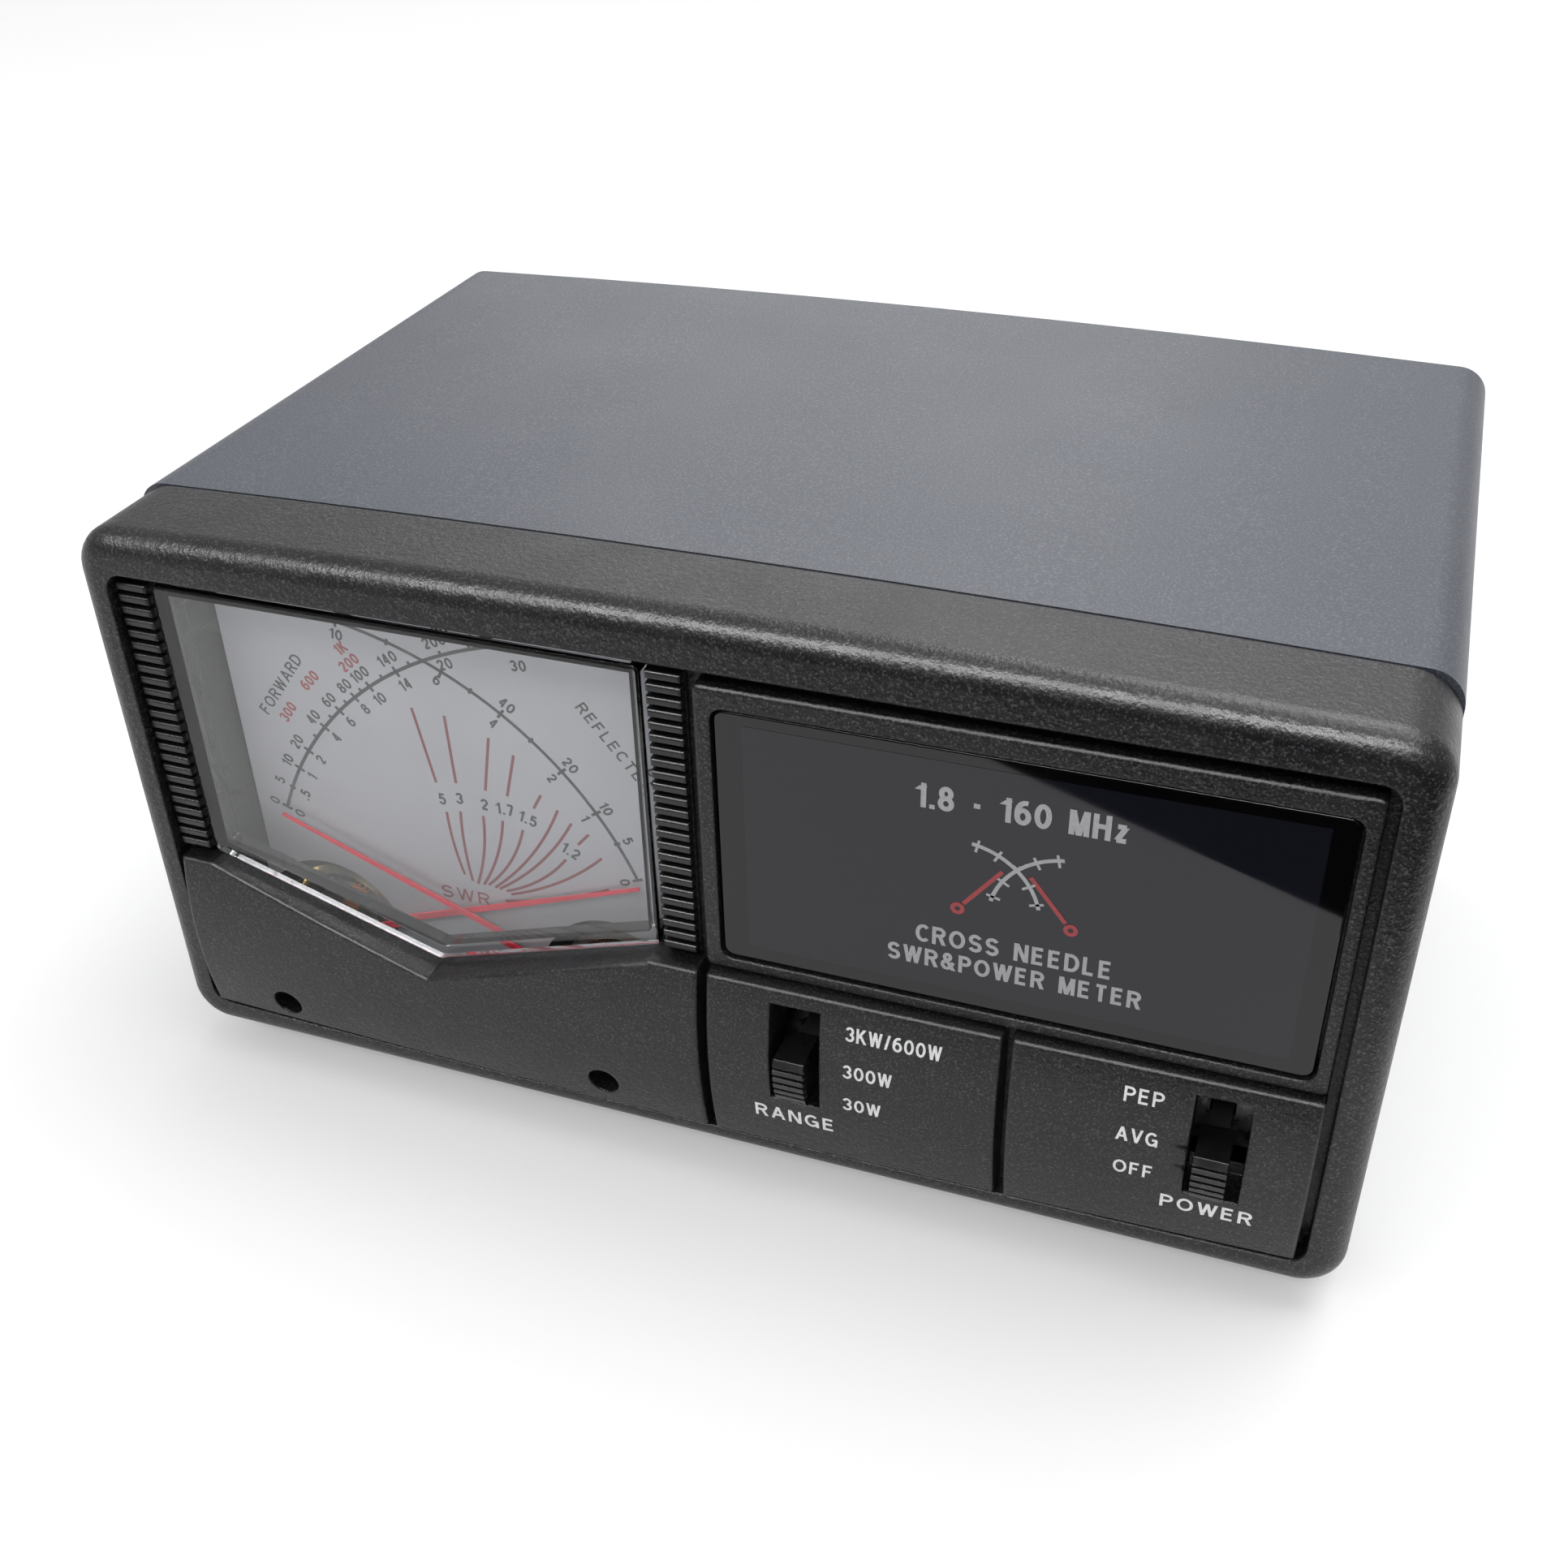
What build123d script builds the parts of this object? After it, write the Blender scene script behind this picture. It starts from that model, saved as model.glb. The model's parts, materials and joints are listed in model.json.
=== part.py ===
"""Cross-needle SWR and power meter for amateur radio, one STEP file per sub-part.

Everything is drawn in the case frame, in millimetres: X to the right, Y from the bezel's front rim
back into the case, Z up from the underside of the case. On export each part moves into the part's own
frame, whose origin is the centre of the footprint at the bottom of the feet.
"""
from build123d import *
import os

os.makedirs("parts", exist_ok=True)

# Case
CASE_WIDTH = 155.0
CASE_HEIGHT = 75.0          # at the side walls
CROWN = 1.2                 # rise of the top at mid width
CASE_DEPTH = 98.5           # front rim to the cover's rear edge
SHEET = 1.2                 # cover and chassis steel
SHEET_GAP = 0.15
COVER_CORNER = 4.0
LINING = SHEET + SHEET_GAP  # inset of what lies inside the cover
FOOT_HEIGHT = 4.0

# Bezel
BEZEL_DEPTH = 13.85
BEZEL_CORNER = 5.5
BEZEL_FRONT_EDGE = 3.0
SEAM = 0.4                  # gap between bezel and cover
LIP_END = 20.0
RECESS_HALF = 73.1
RECESS_TOP = 70.0
RECESS_BOTTOM = 4.3         # at its ends
RECESS_SAG = 0.9            # how much lower its bottom edge is at mid width
WEB_FRONT = 3.0
WEB_BACK = 5.0

# Meter
METER_X = -36.8
METER_HALF = 31.2
METER_TOP = 68.5
METER_BOTTOM = 4.7
SHOULDER_Z = 29.95          # where the lens's sides turn into its V
APEX_Z = 19.65
LENS_FRONT = 1.5
LENS_WALL = 1.6
SKIRT_FRONT = 4.0
SKIRT_WALL = 1.4
LENS_BACK = 12.0
DIAL_FRONT = 10.65
DIAL_INSET = 1.6            # from the meter's sides to the dial's
DIAL_THICK = 0.8
CASE_BACK = 31.0            # back of the meter's own case

# Movements: one each side of the meter's middle
PIVOT_OFFSET = 20.85
PIVOT_Z = 14.1
CUTOUT_R = 10.4
YOKE_R = 8.0
YOKE_BORE_R = 6.6
YOKE_FRONT = 13.0
CORE_R = 4.6
COIL_HALF = 6.1
COIL_BAR = 1.0
COIL_WIDTH = 2.2
COIL_FRONT = 12.8
COIL_BACK = 27.6
PIVOT_R = 0.35
JEWEL_R = 0.42
STAFF_R = 0.6
BRIDGE_FRONT = 5.8
BRIDGE_BACK = 6.8
NEEDLE_LENGTH = 49.4
NEEDLE_THICK = 0.3
NEEDLE_REST = {"forward": 22.0, "reflected": 20.6}     # degrees above the horizontal with no power
FORWARD_NEEDLE_Y = 8.85
REFLECTED_NEEDLE_Y = 9.65
WEIGHT_RADIUS = 5.6
ADJUSTER_OFFSET = 23.3
ADJUSTER_Z = 8.05

# Lower panels
PANEL_LEFT = -72.1
PANEL_RIGHT = 71.9
PANEL_TOP = 29.3
PANEL_GAP_BELOW = 0.6
PANEL_CREST = -2.2          # furthest forward, at PANEL_CREST_Z
PANEL_CREST_Z = 18.0
PANEL_TOP_Y = -1.0
PANEL_FOOT_Y = 0.0
PANEL_FOOT_Z = 4.0
PANEL_WALL = 1.8
PLAN_SAG = 0.6              # the panels stand this much further forward at mid width
V_HALF = 30.6
V_APEX_Z = 19.2
PANEL_EDGE = 0.45
RANGE_LEFT = 1.3
POWER_LEFT = 38.0
GROOVE = 1.15

# Slide switches
RANGE_SLOT_X = 12.45
POWER_SLOT_X = 61.65
SLOT_WIDTH = 6.3
SLOT_BOTTOM = 12.9
SLOT_TOP = 27.4
KNOB_SHIFT = -0.4
KNOB_WIDTH = 3.8
KNOB_BOTTOM = 13.4
KNOB_TOP = 20.1
KNOB_FRONT = -3.35
KNOB_BACK = 2.6
KNOB_GROOVES = 5
TRAVEL = 6.8
TONGUE_TIP = 0.5
TONGUE_HALF = 1.2
SWITCH_FRONT = 9.0
BOARD_FRONT = 16.0
BOARD_BACK = 17.6

# Window
FRAME_LEFT = 0.7
FRAME_RIGHT = 71.9
FRAME_BOTTOM = 29.45
FRAME_TOP = 67.9
FRAME_FRONT = 0.64
WINDOW_LEFT = 3.0
WINDOW_RIGHT = 70.0
WINDOW_BOTTOM = 31.4
WINDOW_TOP = 65.0
WINDOW_CORNER = 1.3
WINDOW_FRONT = 1.0
WINDOW_GROOVE = 0.35
CARD_FRONT = 2.8

# Rib strips
RIB_WIDTH = 4.2
LEFT_RIB_X = -70.6
RIGHT_RIB_X = -2.7
RIB_COUNT = 24
RIB_TOP = 67.9              # middle of the top rib
RIB_PITCH = 1.61
RIB_HEIGHT = 1.05
RIB_FRONT = 1.0
RIB_ROOT = 2.3

# Rear
REAR_FRONT = 95.5
REAR_BACK = 97.0
SOCKET_X = 26.0
SOCKET_Z = 38.0
SOCKET_THREAD_R = 7.94      # 5/8 inch thread
SOCKET_THREAD = 15.0
SOCKET_FLANGE = 25.4
SOCKET_FLANGE_THICK = 2.0
SOCKET_HOLES = 18.3
JACK_X = 60.0
JACK_Z = 20.0
JACK_BORE_R = 2.85

# Coupler
BOX_HALF = 42.0
BOX_FRONT = 60.0
BOX_BOTTOM = 22.0
BOX_TOP = 56.0
BOX_WALL = 1.0
LINE_Y = 80.0
LINE_R = 1.6

PIVOTS = {"forward": METER_X + PIVOT_OFFSET, "reflected": METER_X - PIVOT_OFFSET}
NEEDLE_Y = {"forward": FORWARD_NEEDLE_Y, "reflected": REFLECTED_NEEDLE_Y}
SLOTS = {"range": RANGE_SLOT_X, "power": POWER_SLOT_X}
SOCKETS = {"transmitter": -SOCKET_X, "antenna": SOCKET_X}
SOCKET_BACK = REAR_BACK + SOCKET_FLANGE_THICK + SOCKET_THREAD
CENTRE_Y = (KNOB_FRONT + SOCKET_BACK) / 2

parts = {}


# ---- Helpers ----

def block(x0, x1, y0, y1, z0, z1):
    """A box between two corners."""
    middle = Pos((x0 + x1) / 2, (y0 + y1) / 2, (z0 + z1) / 2)
    return middle * Box(x1 - x0, y1 - y0, z1 - z0)


def rod(x, z, radius, y0, y1):
    """A cylinder along Y."""
    return Pos(x, (y0 + y1) / 2, z) * Rot(90, 0, 0) * Cylinder(radius, y1 - y0)


def post(x, y, radius, z0, z1):
    """A cylinder along Z."""
    return Pos(x, y, (z0 + z1) / 2) * Cylinder(radius, z1 - z0)


def front_plane(y):
    """Drawing plane facing the front: local x is X, local y is Z."""
    return Plane(origin=(0, y, 0), x_dir=(1, 0, 0), z_dir=(0, -1, 0))


def prism(outline, y0, y1):
    """An outline drawn in X and Z, extruded from y0 back to y1."""
    return extrude(front_plane(y0) * outline, amount=-(y1 - y0))


def side_prism(outline, x0, x1):
    """An outline drawn in Y and Z, extruded from x0 to x1."""
    plane = Plane(origin=(x0, 0, 0), x_dir=(0, 1, 0), z_dir=(1, 0, 0))
    return extrude(plane * outline, amount=x1 - x0)


def rectangle(x0, x1, z0, z1, radius=0.0):
    """A rectangle between two corners, with rounded corners if a radius is given."""
    middle = Pos((x0 + x1) / 2, (z0 + z1) / 2)
    if radius > 0:
        return middle * RectangleRounded(x1 - x0, z1 - z0, radius)
    return middle * Rectangle(x1 - x0, z1 - z0)


def polygon(*points):
    """A closed straight-sided outline."""
    return make_face(Polyline(*points, close=True))


def front_edges(part):
    """The edges of the face that is furthest forward."""
    return part.faces().sort_by(Axis.Y)[0].edges()


def group(solids):
    """Separate solids kept together as one node."""
    return Compound(children=[solid.solid() for solid in solids])


def keep(name, shape):
    """Name a finished part."""
    parts[name] = shape


# ---- Case ----

def case_outline(inset, corner, bottom=None):
    """Section of the case: straight sides and base, crowned top."""
    half = CASE_WIDTH / 2 - inset
    top = CASE_HEIGHT - inset
    base = inset if bottom is None else bottom
    sides = Polyline((half, top), (half, base), (-half, base), (-half, top))
    crown = ThreePointArc((-half, top), (0, top + CROWN), (half, top))
    return fillet(make_face([sides, crown]).vertices(), corner)


def recess_outline():
    """The opening of the bezel's rim: its bottom edge is a shallow arc."""
    sides = Polyline((RECESS_HALF, RECESS_BOTTOM), (RECESS_HALF, RECESS_TOP),
                     (-RECESS_HALF, RECESS_TOP), (-RECESS_HALF, RECESS_BOTTOM))
    bottom = ThreePointArc((-RECESS_HALF, RECESS_BOTTOM), (0, RECESS_BOTTOM - RECESS_SAG),
                           (RECESS_HALF, RECESS_BOTTOM))
    return fillet(make_face([sides, bottom]).vertices(), 2.4)


METER_BOSSES = [(x, z) for x in (METER_X - METER_HALF - 2.5, METER_X + METER_HALF + 2.3)
                for z in (20.0, 60.0)]
BOARD_BOSSES = [(x, z) for x in (4.6, 68.4) for z in (9.4, 60.0)]
BOSS_SCREW_R = 1.0
BEZEL_SCREW_X = 58.0
BEZEL_SCREW_Y = 17.2


def front_bezel():
    """Rim, inner web with its openings, rear lip and the bosses for the meter and the main board."""
    rim = prism(case_outline(0, BEZEL_CORNER), 0, BEZEL_DEPTH)
    rim = fillet(front_edges(rim), BEZEL_FRONT_EDGE)
    lip = prism(case_outline(LINING, BEZEL_CORNER - LINING), BEZEL_DEPTH, LIP_END)
    body = rim + lip - prism(recess_outline(), -1, LIP_END + 1)
    body += prism(recess_outline(), WEB_FRONT, WEB_BACK)
    clear = 0.3
    body -= block(METER_X - METER_HALF - clear, METER_X + METER_HALF + clear, WEB_FRONT - 1, WEB_BACK + 1,
                  METER_BOTTOM - clear, METER_TOP + clear)
    for x in SLOTS.values():
        body -= block(x - SLOT_WIDTH / 2, x + SLOT_WIDTH / 2, WEB_FRONT - 1, WEB_BACK + 1,
                      SLOT_BOTTOM, SLOT_TOP)
    for x, z in METER_BOSSES:
        body += rod(x, z, 2.0, WEB_BACK, LENS_BACK) - rod(x, z, BOSS_SCREW_R, WEB_BACK + 1, LENS_BACK)
    for x, z in BOARD_BOSSES:
        body += rod(x, z, 2.8, WEB_BACK, BOARD_FRONT) - rod(x, z, BOSS_SCREW_R, WEB_BACK + 1, BOARD_FRONT)
    for x in (-BEZEL_SCREW_X, BEZEL_SCREW_X):
        body -= post(x, BEZEL_SCREW_Y, 1.1, 0, 3.3)
    return body


def top_cover():
    """Folded steel cover: crowned top and two sides, open below, in front and behind."""
    start = BEZEL_DEPTH + SEAM
    shell = prism(case_outline(0, COVER_CORNER, -20), start, CASE_DEPTH)
    shell -= prism(case_outline(SHEET, COVER_CORNER - SHEET, -25), start - 1, CASE_DEPTH + 1)
    shell -= block(-CASE_WIDTH, CASE_WIDTH, 0, CASE_DEPTH + 5, -40, 0)
    for x, y, z in COVER_SCREWS:
        shell -= flush_screw(x, y, z, 0.0)
    return shell


COVER_SCREWS = [(side * CASE_WIDTH / 2, y, z) for side in (-1, 1)
                for y, z in ((36.0, 8.0), (88.0, 8.0), (88.0, 52.0))]


def flush_screw(x, y, z, slack):
    """A countersunk screw driven into the side of the case, pointing at the case's middle."""
    turn = 90 if x > 0 else -90
    head = Pos(0, 0, -0.55) * Cone(1.5 - slack, 2.5 - slack, 1.1)
    shank = Pos(0, 0, -2.1) * Cylinder(1.5 - slack, 4.2)
    return Pos(x, y, z) * Rot(0, turn, 0) * (head + shank)


def cover_screws():
    """Six black countersunk screws, flush with the cover's sides."""
    screws = []
    for x, y, z in COVER_SCREWS:
        cross = block(x - 0.5, x + 0.5, y - 1.2, y + 1.2, z - 0.25, z + 0.25)
        cross += block(x - 0.5, x + 0.5, y - 0.25, y + 0.25, z - 1.2, z + 1.2)
        screws.append(flush_screw(x, y, z, 0.02) - cross)
    return group(screws)


FEET = [(x, y) for x in (-61.0, 61.0) for y in (27.0, 85.0)]
REAR_SCREWS = [(-66.0, 8.0), (0.0, 8.0), (66.0, 8.0)]
FLANGE_TOP = 14.0


def chassis_tray():
    """Bottom plate with two side flanges and a rear flange."""
    half = CASE_WIDTH / 2 - LINING
    start = BEZEL_DEPTH + SEAM
    tray = block(-half, half, start, REAR_FRONT, 0, SHEET)
    for side in (-1, 1):
        inner = side * (half - SHEET)
        outer = side * half
        tray += block(min(inner, outer), max(inner, outer), LIP_END + 1, REAR_FRONT, 0, FLANGE_TOP)
    tray += block(-half, half, REAR_FRONT - SHEET, REAR_FRONT, 0, FLANGE_TOP)
    for x, y in FEET:
        tray -= post(x, y, 1.5, -1, SHEET + 1)
    for x in (-BEZEL_SCREW_X, BEZEL_SCREW_X):
        tray -= post(x, BEZEL_SCREW_Y, 1.4, -1, SHEET + 1)
    for x, z in REAR_SCREWS:
        tray -= rod(x, z, 1.5, REAR_FRONT - SHEET - 1, REAR_FRONT + 1)
    for x, y, z in COVER_SCREWS:
        tray -= flush_screw(x, y, z, 0.0)
    return tray


def rear_panel():
    """Back plate with two forward tabs for the cover's upper screws."""
    outline = case_outline(LINING, COVER_CORNER - LINING, SHEET + SHEET_GAP)
    panel = prism(outline, REAR_FRONT, REAR_BACK)
    half = CASE_WIDTH / 2 - LINING
    for side in (-1, 1):
        inner = side * (half - SHEET)
        outer = side * half
        panel += block(min(inner, outer), max(inner, outer), 80.0, REAR_FRONT, 44.0, 60.0)
    for x in SOCKETS.values():
        panel -= rod(x, SOCKET_Z, 8.2, REAR_FRONT - 1, REAR_BACK + 1)
        for hole in socket_holes(x):
            panel -= rod(*hole, 1.5, REAR_FRONT - 1, REAR_BACK + 1)
    panel -= rod(JACK_X, JACK_Z, 4.05, REAR_FRONT - 1, REAR_BACK + 1)
    for x, z in REAR_SCREWS:
        panel -= rod(x, z, 1.5, REAR_FRONT - 1, REAR_BACK + 1)
    for x, y, z in COVER_SCREWS:
        panel -= flush_screw(x, y, z, 0.0)
    return panel


def pan_screw(x, z, radius, y0, y1, head_radius, head_height):
    """A pan-head screw along Y. Its head is behind y1 and has a cross recess."""
    shank = rod(x, z, radius, y0, y1)
    head = rod(x, z, head_radius, y1, y1 + head_height)
    head = fillet(head.edges().group_by(Axis.Y)[-1], head_height * 0.6)
    arm = head_radius * 0.6
    end = y1 + head_height
    cross = block(x - arm, x + arm, end - 0.7, end + 1, z - 0.25, z + 0.25)
    cross += block(x - 0.25, x + 0.25, end - 0.7, end + 1, z - arm, z + arm)
    return shank + head - cross


def floor_screw(x, y, radius, z0, z1, head_radius, head_height):
    """A pan-head screw along Z, with its head below z0."""
    shank = post(x, y, radius, z0, z1)
    head = post(x, y, head_radius, z0 - head_height, z0)
    head = fillet(head.edges().group_by(Axis.Z)[0], head_height * 0.6)
    arm = head_radius * 0.6
    low = z0 - head_height
    cross = block(x - arm, x + arm, y - 0.25, y + 0.25, low - 1, low + 0.7)
    cross += block(x - 0.25, x + 0.25, y - arm, y + arm, low - 1, low + 0.7)
    return shank + head - cross


def feet():
    """Four round rubber feet with a counterbore each."""
    shapes = []
    for x, y in FEET:
        foot = Pos(x, y, -FOOT_HEIGHT / 2) * Cone(5.6, 6.4, FOOT_HEIGHT)
        foot = fillet(foot.edges().group_by(Axis.Z)[0], 0.6)
        foot -= post(x, y, 3.2, -FOOT_HEIGHT - 1, -FOOT_HEIGHT + 2.2)
        foot -= post(x, y, 1.6, -FOOT_HEIGHT - 1, 1)
        shapes.append(foot)
    return group(shapes)


def floor_screws():
    """Screws driven from below: four through the feet, two through the tray into the bezel's lip."""
    seat = -FOOT_HEIGHT + 2.2
    screws = [floor_screw(x, y, 1.45, seat, 4.0, 2.8, 1.5) for x, y in FEET]
    screws += [floor_screw(x, BEZEL_SCREW_Y, 1.05, 0, 3.2, 2.3, 1.4) for x in (-BEZEL_SCREW_X, BEZEL_SCREW_X)]
    return group(screws)


# ---- Lower panels ----

def panel_profile(inset):
    """Side section of the lower panels: bulging front, plain back. Drawn in Y and Z."""
    low = (PANEL_FOOT_Y + inset + 0.25, PANEL_FOOT_Z - 3.0)
    crest = (PANEL_CREST + inset, PANEL_CREST_Z)
    high = (PANEL_TOP_Y + inset, PANEL_TOP)
    front = ThreePointArc(low, crest, high)
    back = Polyline(high, (8, PANEL_TOP), (8, PANEL_FOOT_Z - 3.0), low)
    plane = Plane(origin=(0, 0, 0), x_dir=(0, 1, 0), z_dir=(1, 0, 0))
    return plane * make_face([front, back])


def panel_bulge(inset):
    """The lower panels' common front: the side section swept round a distant upright axis."""
    plan_radius = RECESS_HALF ** 2 / (2 * PLAN_SAG)
    axis = Axis((0, plan_radius, 0), (0, 0, 1))
    arc = 2.2
    return revolve(panel_profile(inset), axis=axis, revolution_arc=arc).rotate(axis, -arc / 2)


def panel_field():
    """Outline that the three lower panels share, in X and Z."""
    low = RECESS_BOTTOM + PANEL_GAP_BELOW
    sides = Polyline((PANEL_RIGHT, low), (PANEL_RIGHT, PANEL_TOP), (PANEL_LEFT, PANEL_TOP), (PANEL_LEFT, low))
    bottom = ThreePointArc((PANEL_LEFT, low), (0, low - RECESS_SAG), (PANEL_RIGHT, low))
    return make_face([sides, bottom])


def panel(outline):
    """A hollow panel moulding with the common bulging front and the given outline."""
    solid = panel_bulge(0) & prism(outline, -6, WEB_FRONT)
    solid = fillet(front_edges(solid), PANEL_EDGE)
    inner = offset(outline, amount=-PANEL_WALL, kind=Kind.INTERSECTION)
    return solid - (panel_bulge(PANEL_WALL) & prism(inner, -6, WEB_FRONT))


def meter_panel():
    """Left panel: a V-shaped ledge under the meter, and two holes for the zero adjusters."""
    right = RANGE_LEFT - GROOVE
    field = panel_field() & rectangle(PANEL_LEFT - 1, right, 0, 40)
    field -= polygon((METER_X - V_HALF, 40), (METER_X - V_HALF, PANEL_TOP), (METER_X, V_APEX_Z),
                     (METER_X + V_HALF, PANEL_TOP), (METER_X + V_HALF, 40))
    body = panel(field)
    for side in (-1, 1):
        x = METER_X + side * ADJUSTER_OFFSET
        tube = rod(x, ADJUSTER_Z, 3.0, 0, WEB_FRONT) & panel_bulge(PANEL_WALL / 2)
        body += tube
        body -= rod(x, ADJUSTER_Z, 2.1, -6, WEB_FRONT + 1)
    return body


def switch_panel(name):
    """Range or power panel: the bulging front with a slot and the walls round it."""
    left = RANGE_LEFT if name == "range" else POWER_LEFT
    right = POWER_LEFT - GROOVE if name == "range" else PANEL_RIGHT + 1
    body = panel(panel_field() & rectangle(left, right, 0, 40))
    x = SLOTS[name]
    half = SLOT_WIDTH / 2
    wall = 1.2
    sleeve = block(x - half - wall, x + half + wall, -1.2, WEB_FRONT, SLOT_BOTTOM - wall, SLOT_TOP + wall)
    body += sleeve & panel_bulge(PANEL_WALL / 2)
    return body - block(x - half, x + half, -6, WEB_FRONT + 1, SLOT_BOTTOM, SLOT_TOP)


# ---- Window and rib strips ----

def window_frame():
    """Plate round the window, with its top and side edges rounded."""
    plate = prism(rectangle(FRAME_LEFT, FRAME_RIGHT, FRAME_BOTTOM, FRAME_TOP, 0.8), FRAME_FRONT, WEB_FRONT)
    plate = fillet(front_edges(plate), 0.5)
    g = WINDOW_GROOVE
    opening = rectangle(WINDOW_LEFT - g, WINDOW_RIGHT + g, WINDOW_BOTTOM - g, WINDOW_TOP + g, WINDOW_CORNER + g)
    return plate - prism(opening, -1, WEB_FRONT + 1)


def display_window():
    """Smoked acrylic pane with eased edges."""
    outline = rectangle(WINDOW_LEFT, WINDOW_RIGHT, WINDOW_BOTTOM, WINDOW_TOP, WINDOW_CORNER)
    pane = prism(outline, WINDOW_FRONT, CARD_FRONT)
    return fillet(front_edges(pane), 0.25)


def window_card():
    """Printed card behind the pane."""
    outline = rectangle(WINDOW_LEFT + 0.3, WINDOW_RIGHT - 0.3, WINDOW_BOTTOM + 0.3, WINDOW_TOP - 0.3, 1.0)
    return prism(outline, CARD_FRONT, WEB_FRONT)


def rib_strip(x):
    """A column of rounded ribs on a thin backing, beside the meter."""
    half = RIB_WIDTH / 2
    low = RIB_TOP - (RIB_COUNT - 1) * RIB_PITCH
    backing = block(x - half - 0.1, x + half + 0.1, RIB_ROOT, WEB_FRONT, low - 0.8, RIB_TOP + 0.8)
    ribs = []
    for i in range(RIB_COUNT):
        z = RIB_TOP - i * RIB_PITCH
        rib = block(x - half, x + half, RIB_FRONT, RIB_ROOT, z - RIB_HEIGHT / 2, z + RIB_HEIGHT / 2)
        ribs.append(fillet(front_edges(rib), 0.3))
    return backing + ribs


# ---- Meter ----

def lens_outline():
    """The lens's raised face: square shoulders above, a V below."""
    left = METER_X - METER_HALF
    right = METER_X + METER_HALF
    face = polygon((left, METER_TOP), (right, METER_TOP), (right, SHOULDER_Z), (METER_X, APEX_Z),
                   (left, SHOULDER_Z))
    return fillet(face.vertices(), 0.8)


def meter_rectangle(inset):
    """Outline of the meter's case."""
    return rectangle(METER_X - METER_HALF + inset, METER_X + METER_HALF - inset,
                     METER_BOTTOM + inset, METER_TOP - inset, 0.8)


def meter_lens():
    """Clear moulding: raised five-sided window, lower step and skirt."""
    body = prism(lens_outline(), LENS_FRONT, SKIRT_FRONT)
    body = fillet(front_edges(body), 0.5)
    body += prism(meter_rectangle(0), SKIRT_FRONT, LENS_BACK)
    window = offset(lens_outline(), amount=-LENS_WALL, kind=Kind.INTERSECTION)
    body -= prism(window, LENS_FRONT + LENS_WALL, SKIRT_FRONT + SKIRT_WALL)
    body -= prism(meter_rectangle(SKIRT_WALL), SKIRT_FRONT + SKIRT_WALL, LENS_BACK)
    for side in (-1, 1):
        body -= rod(METER_X + side * ADJUSTER_OFFSET, ADJUSTER_Z, 1.35, LENS_FRONT, LENS_BACK)
    return body


DIAL_POSTS = [(METER_X - 26.0, 64.6), (METER_X + 26.0, 64.6), (METER_X, 9.0)]
TERMINALS = [(METER_X + offset_x, 45.0) for offset_x in (-22.0, -10.0, 10.0, 22.0)]


def meter_case():
    """Opaque rear housing of the meter, with the dial's posts and the mounting ears."""
    body = prism(meter_rectangle(0), LENS_BACK, CASE_BACK)
    body -= prism(meter_rectangle(SKIRT_WALL), LENS_BACK - 1, CASE_BACK - SKIRT_WALL)
    inner = CASE_BACK - SKIRT_WALL
    for x, z in DIAL_POSTS:
        body += rod(x, z, 2.0, DIAL_FRONT + DIAL_THICK, inner) - rod(x, z, 0.8, DIAL_FRONT, 16)
    for x, z in METER_BOSSES:
        reach = METER_X - METER_HALF if x < METER_X else METER_X + METER_HALF
        outer = x - 2.0 if x < METER_X else x + 2.0
        ear = block(min(reach, outer), max(reach, outer), LENS_BACK, LENS_BACK + 2, z - 3, z + 3)
        body += ear - rod(x, z, 1.1, LENS_BACK - 1, LENS_BACK + 3)
    for x, z in TERMINALS:
        body -= rod(x, z, 1.5, inner - 1, CASE_BACK + 1)
    return body


def boss_screws():
    """Eight screws into the bezel's bosses: four through the meter's ears, four through the main board."""
    screws = [pan_screw(x, z, BOSS_SCREW_R, WEB_BACK + 2, LENS_BACK + 2, 2.0, 1.4) for x, z in METER_BOSSES]
    screws += [pan_screw(x, z, BOSS_SCREW_R, BOARD_BACK - 7, BOARD_BACK, 2.0, 1.4) for x, z in BOARD_BOSSES]
    return group(screws)


def meter_terminals():
    """Four threaded studs with a nut each on the back of the meter."""
    studs = []
    for x, z in TERMINALS:
        stud = rod(x, z, 1.45, CASE_BACK - SKIRT_WALL - 1, CASE_BACK + 6)
        nut = front_plane(CASE_BACK) * Pos(x, z) * RegularPolygon(2.9, 6)
        studs.append(stud + extrude(nut, amount=-2.2))
    return group(studs)


def dial_plate():
    """Dial with two round cut-outs over the movements."""
    outline = rectangle(METER_X - METER_HALF + DIAL_INSET, METER_X + METER_HALF - DIAL_INSET,
                        METER_BOTTOM + 1.9, METER_TOP - 1.7)
    plate = prism(outline, DIAL_FRONT, DIAL_FRONT + DIAL_THICK)
    for side in (-1, 1):
        x = METER_X + side * PIVOT_OFFSET
        edge = METER_X + side * METER_HALF
        plate -= rod(x, PIVOT_Z, CUTOUT_R, DIAL_FRONT - 1, DIAL_FRONT + 2)
        plate -= block(min(x, edge), max(x, edge), DIAL_FRONT - 1, DIAL_FRONT + 2, 0, PIVOT_Z)
    for x, z in DIAL_POSTS:
        plate -= rod(x, z, 0.9, DIAL_FRONT - 1, DIAL_FRONT + 2)
    return plate


def dial_screws():
    """Three small screws through the dial into its posts."""
    screws = []
    for x, z in DIAL_POSTS:
        head = rod(x, z, 1.6, DIAL_FRONT - 0.8, DIAL_FRONT)
        slot = block(x - 2, x + 2, DIAL_FRONT - 1, DIAL_FRONT - 0.4, z - 0.2, z + 0.2)
        screws.append(head + rod(x, z, 0.78, DIAL_FRONT, 15) - slot)
    return group(screws)


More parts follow.
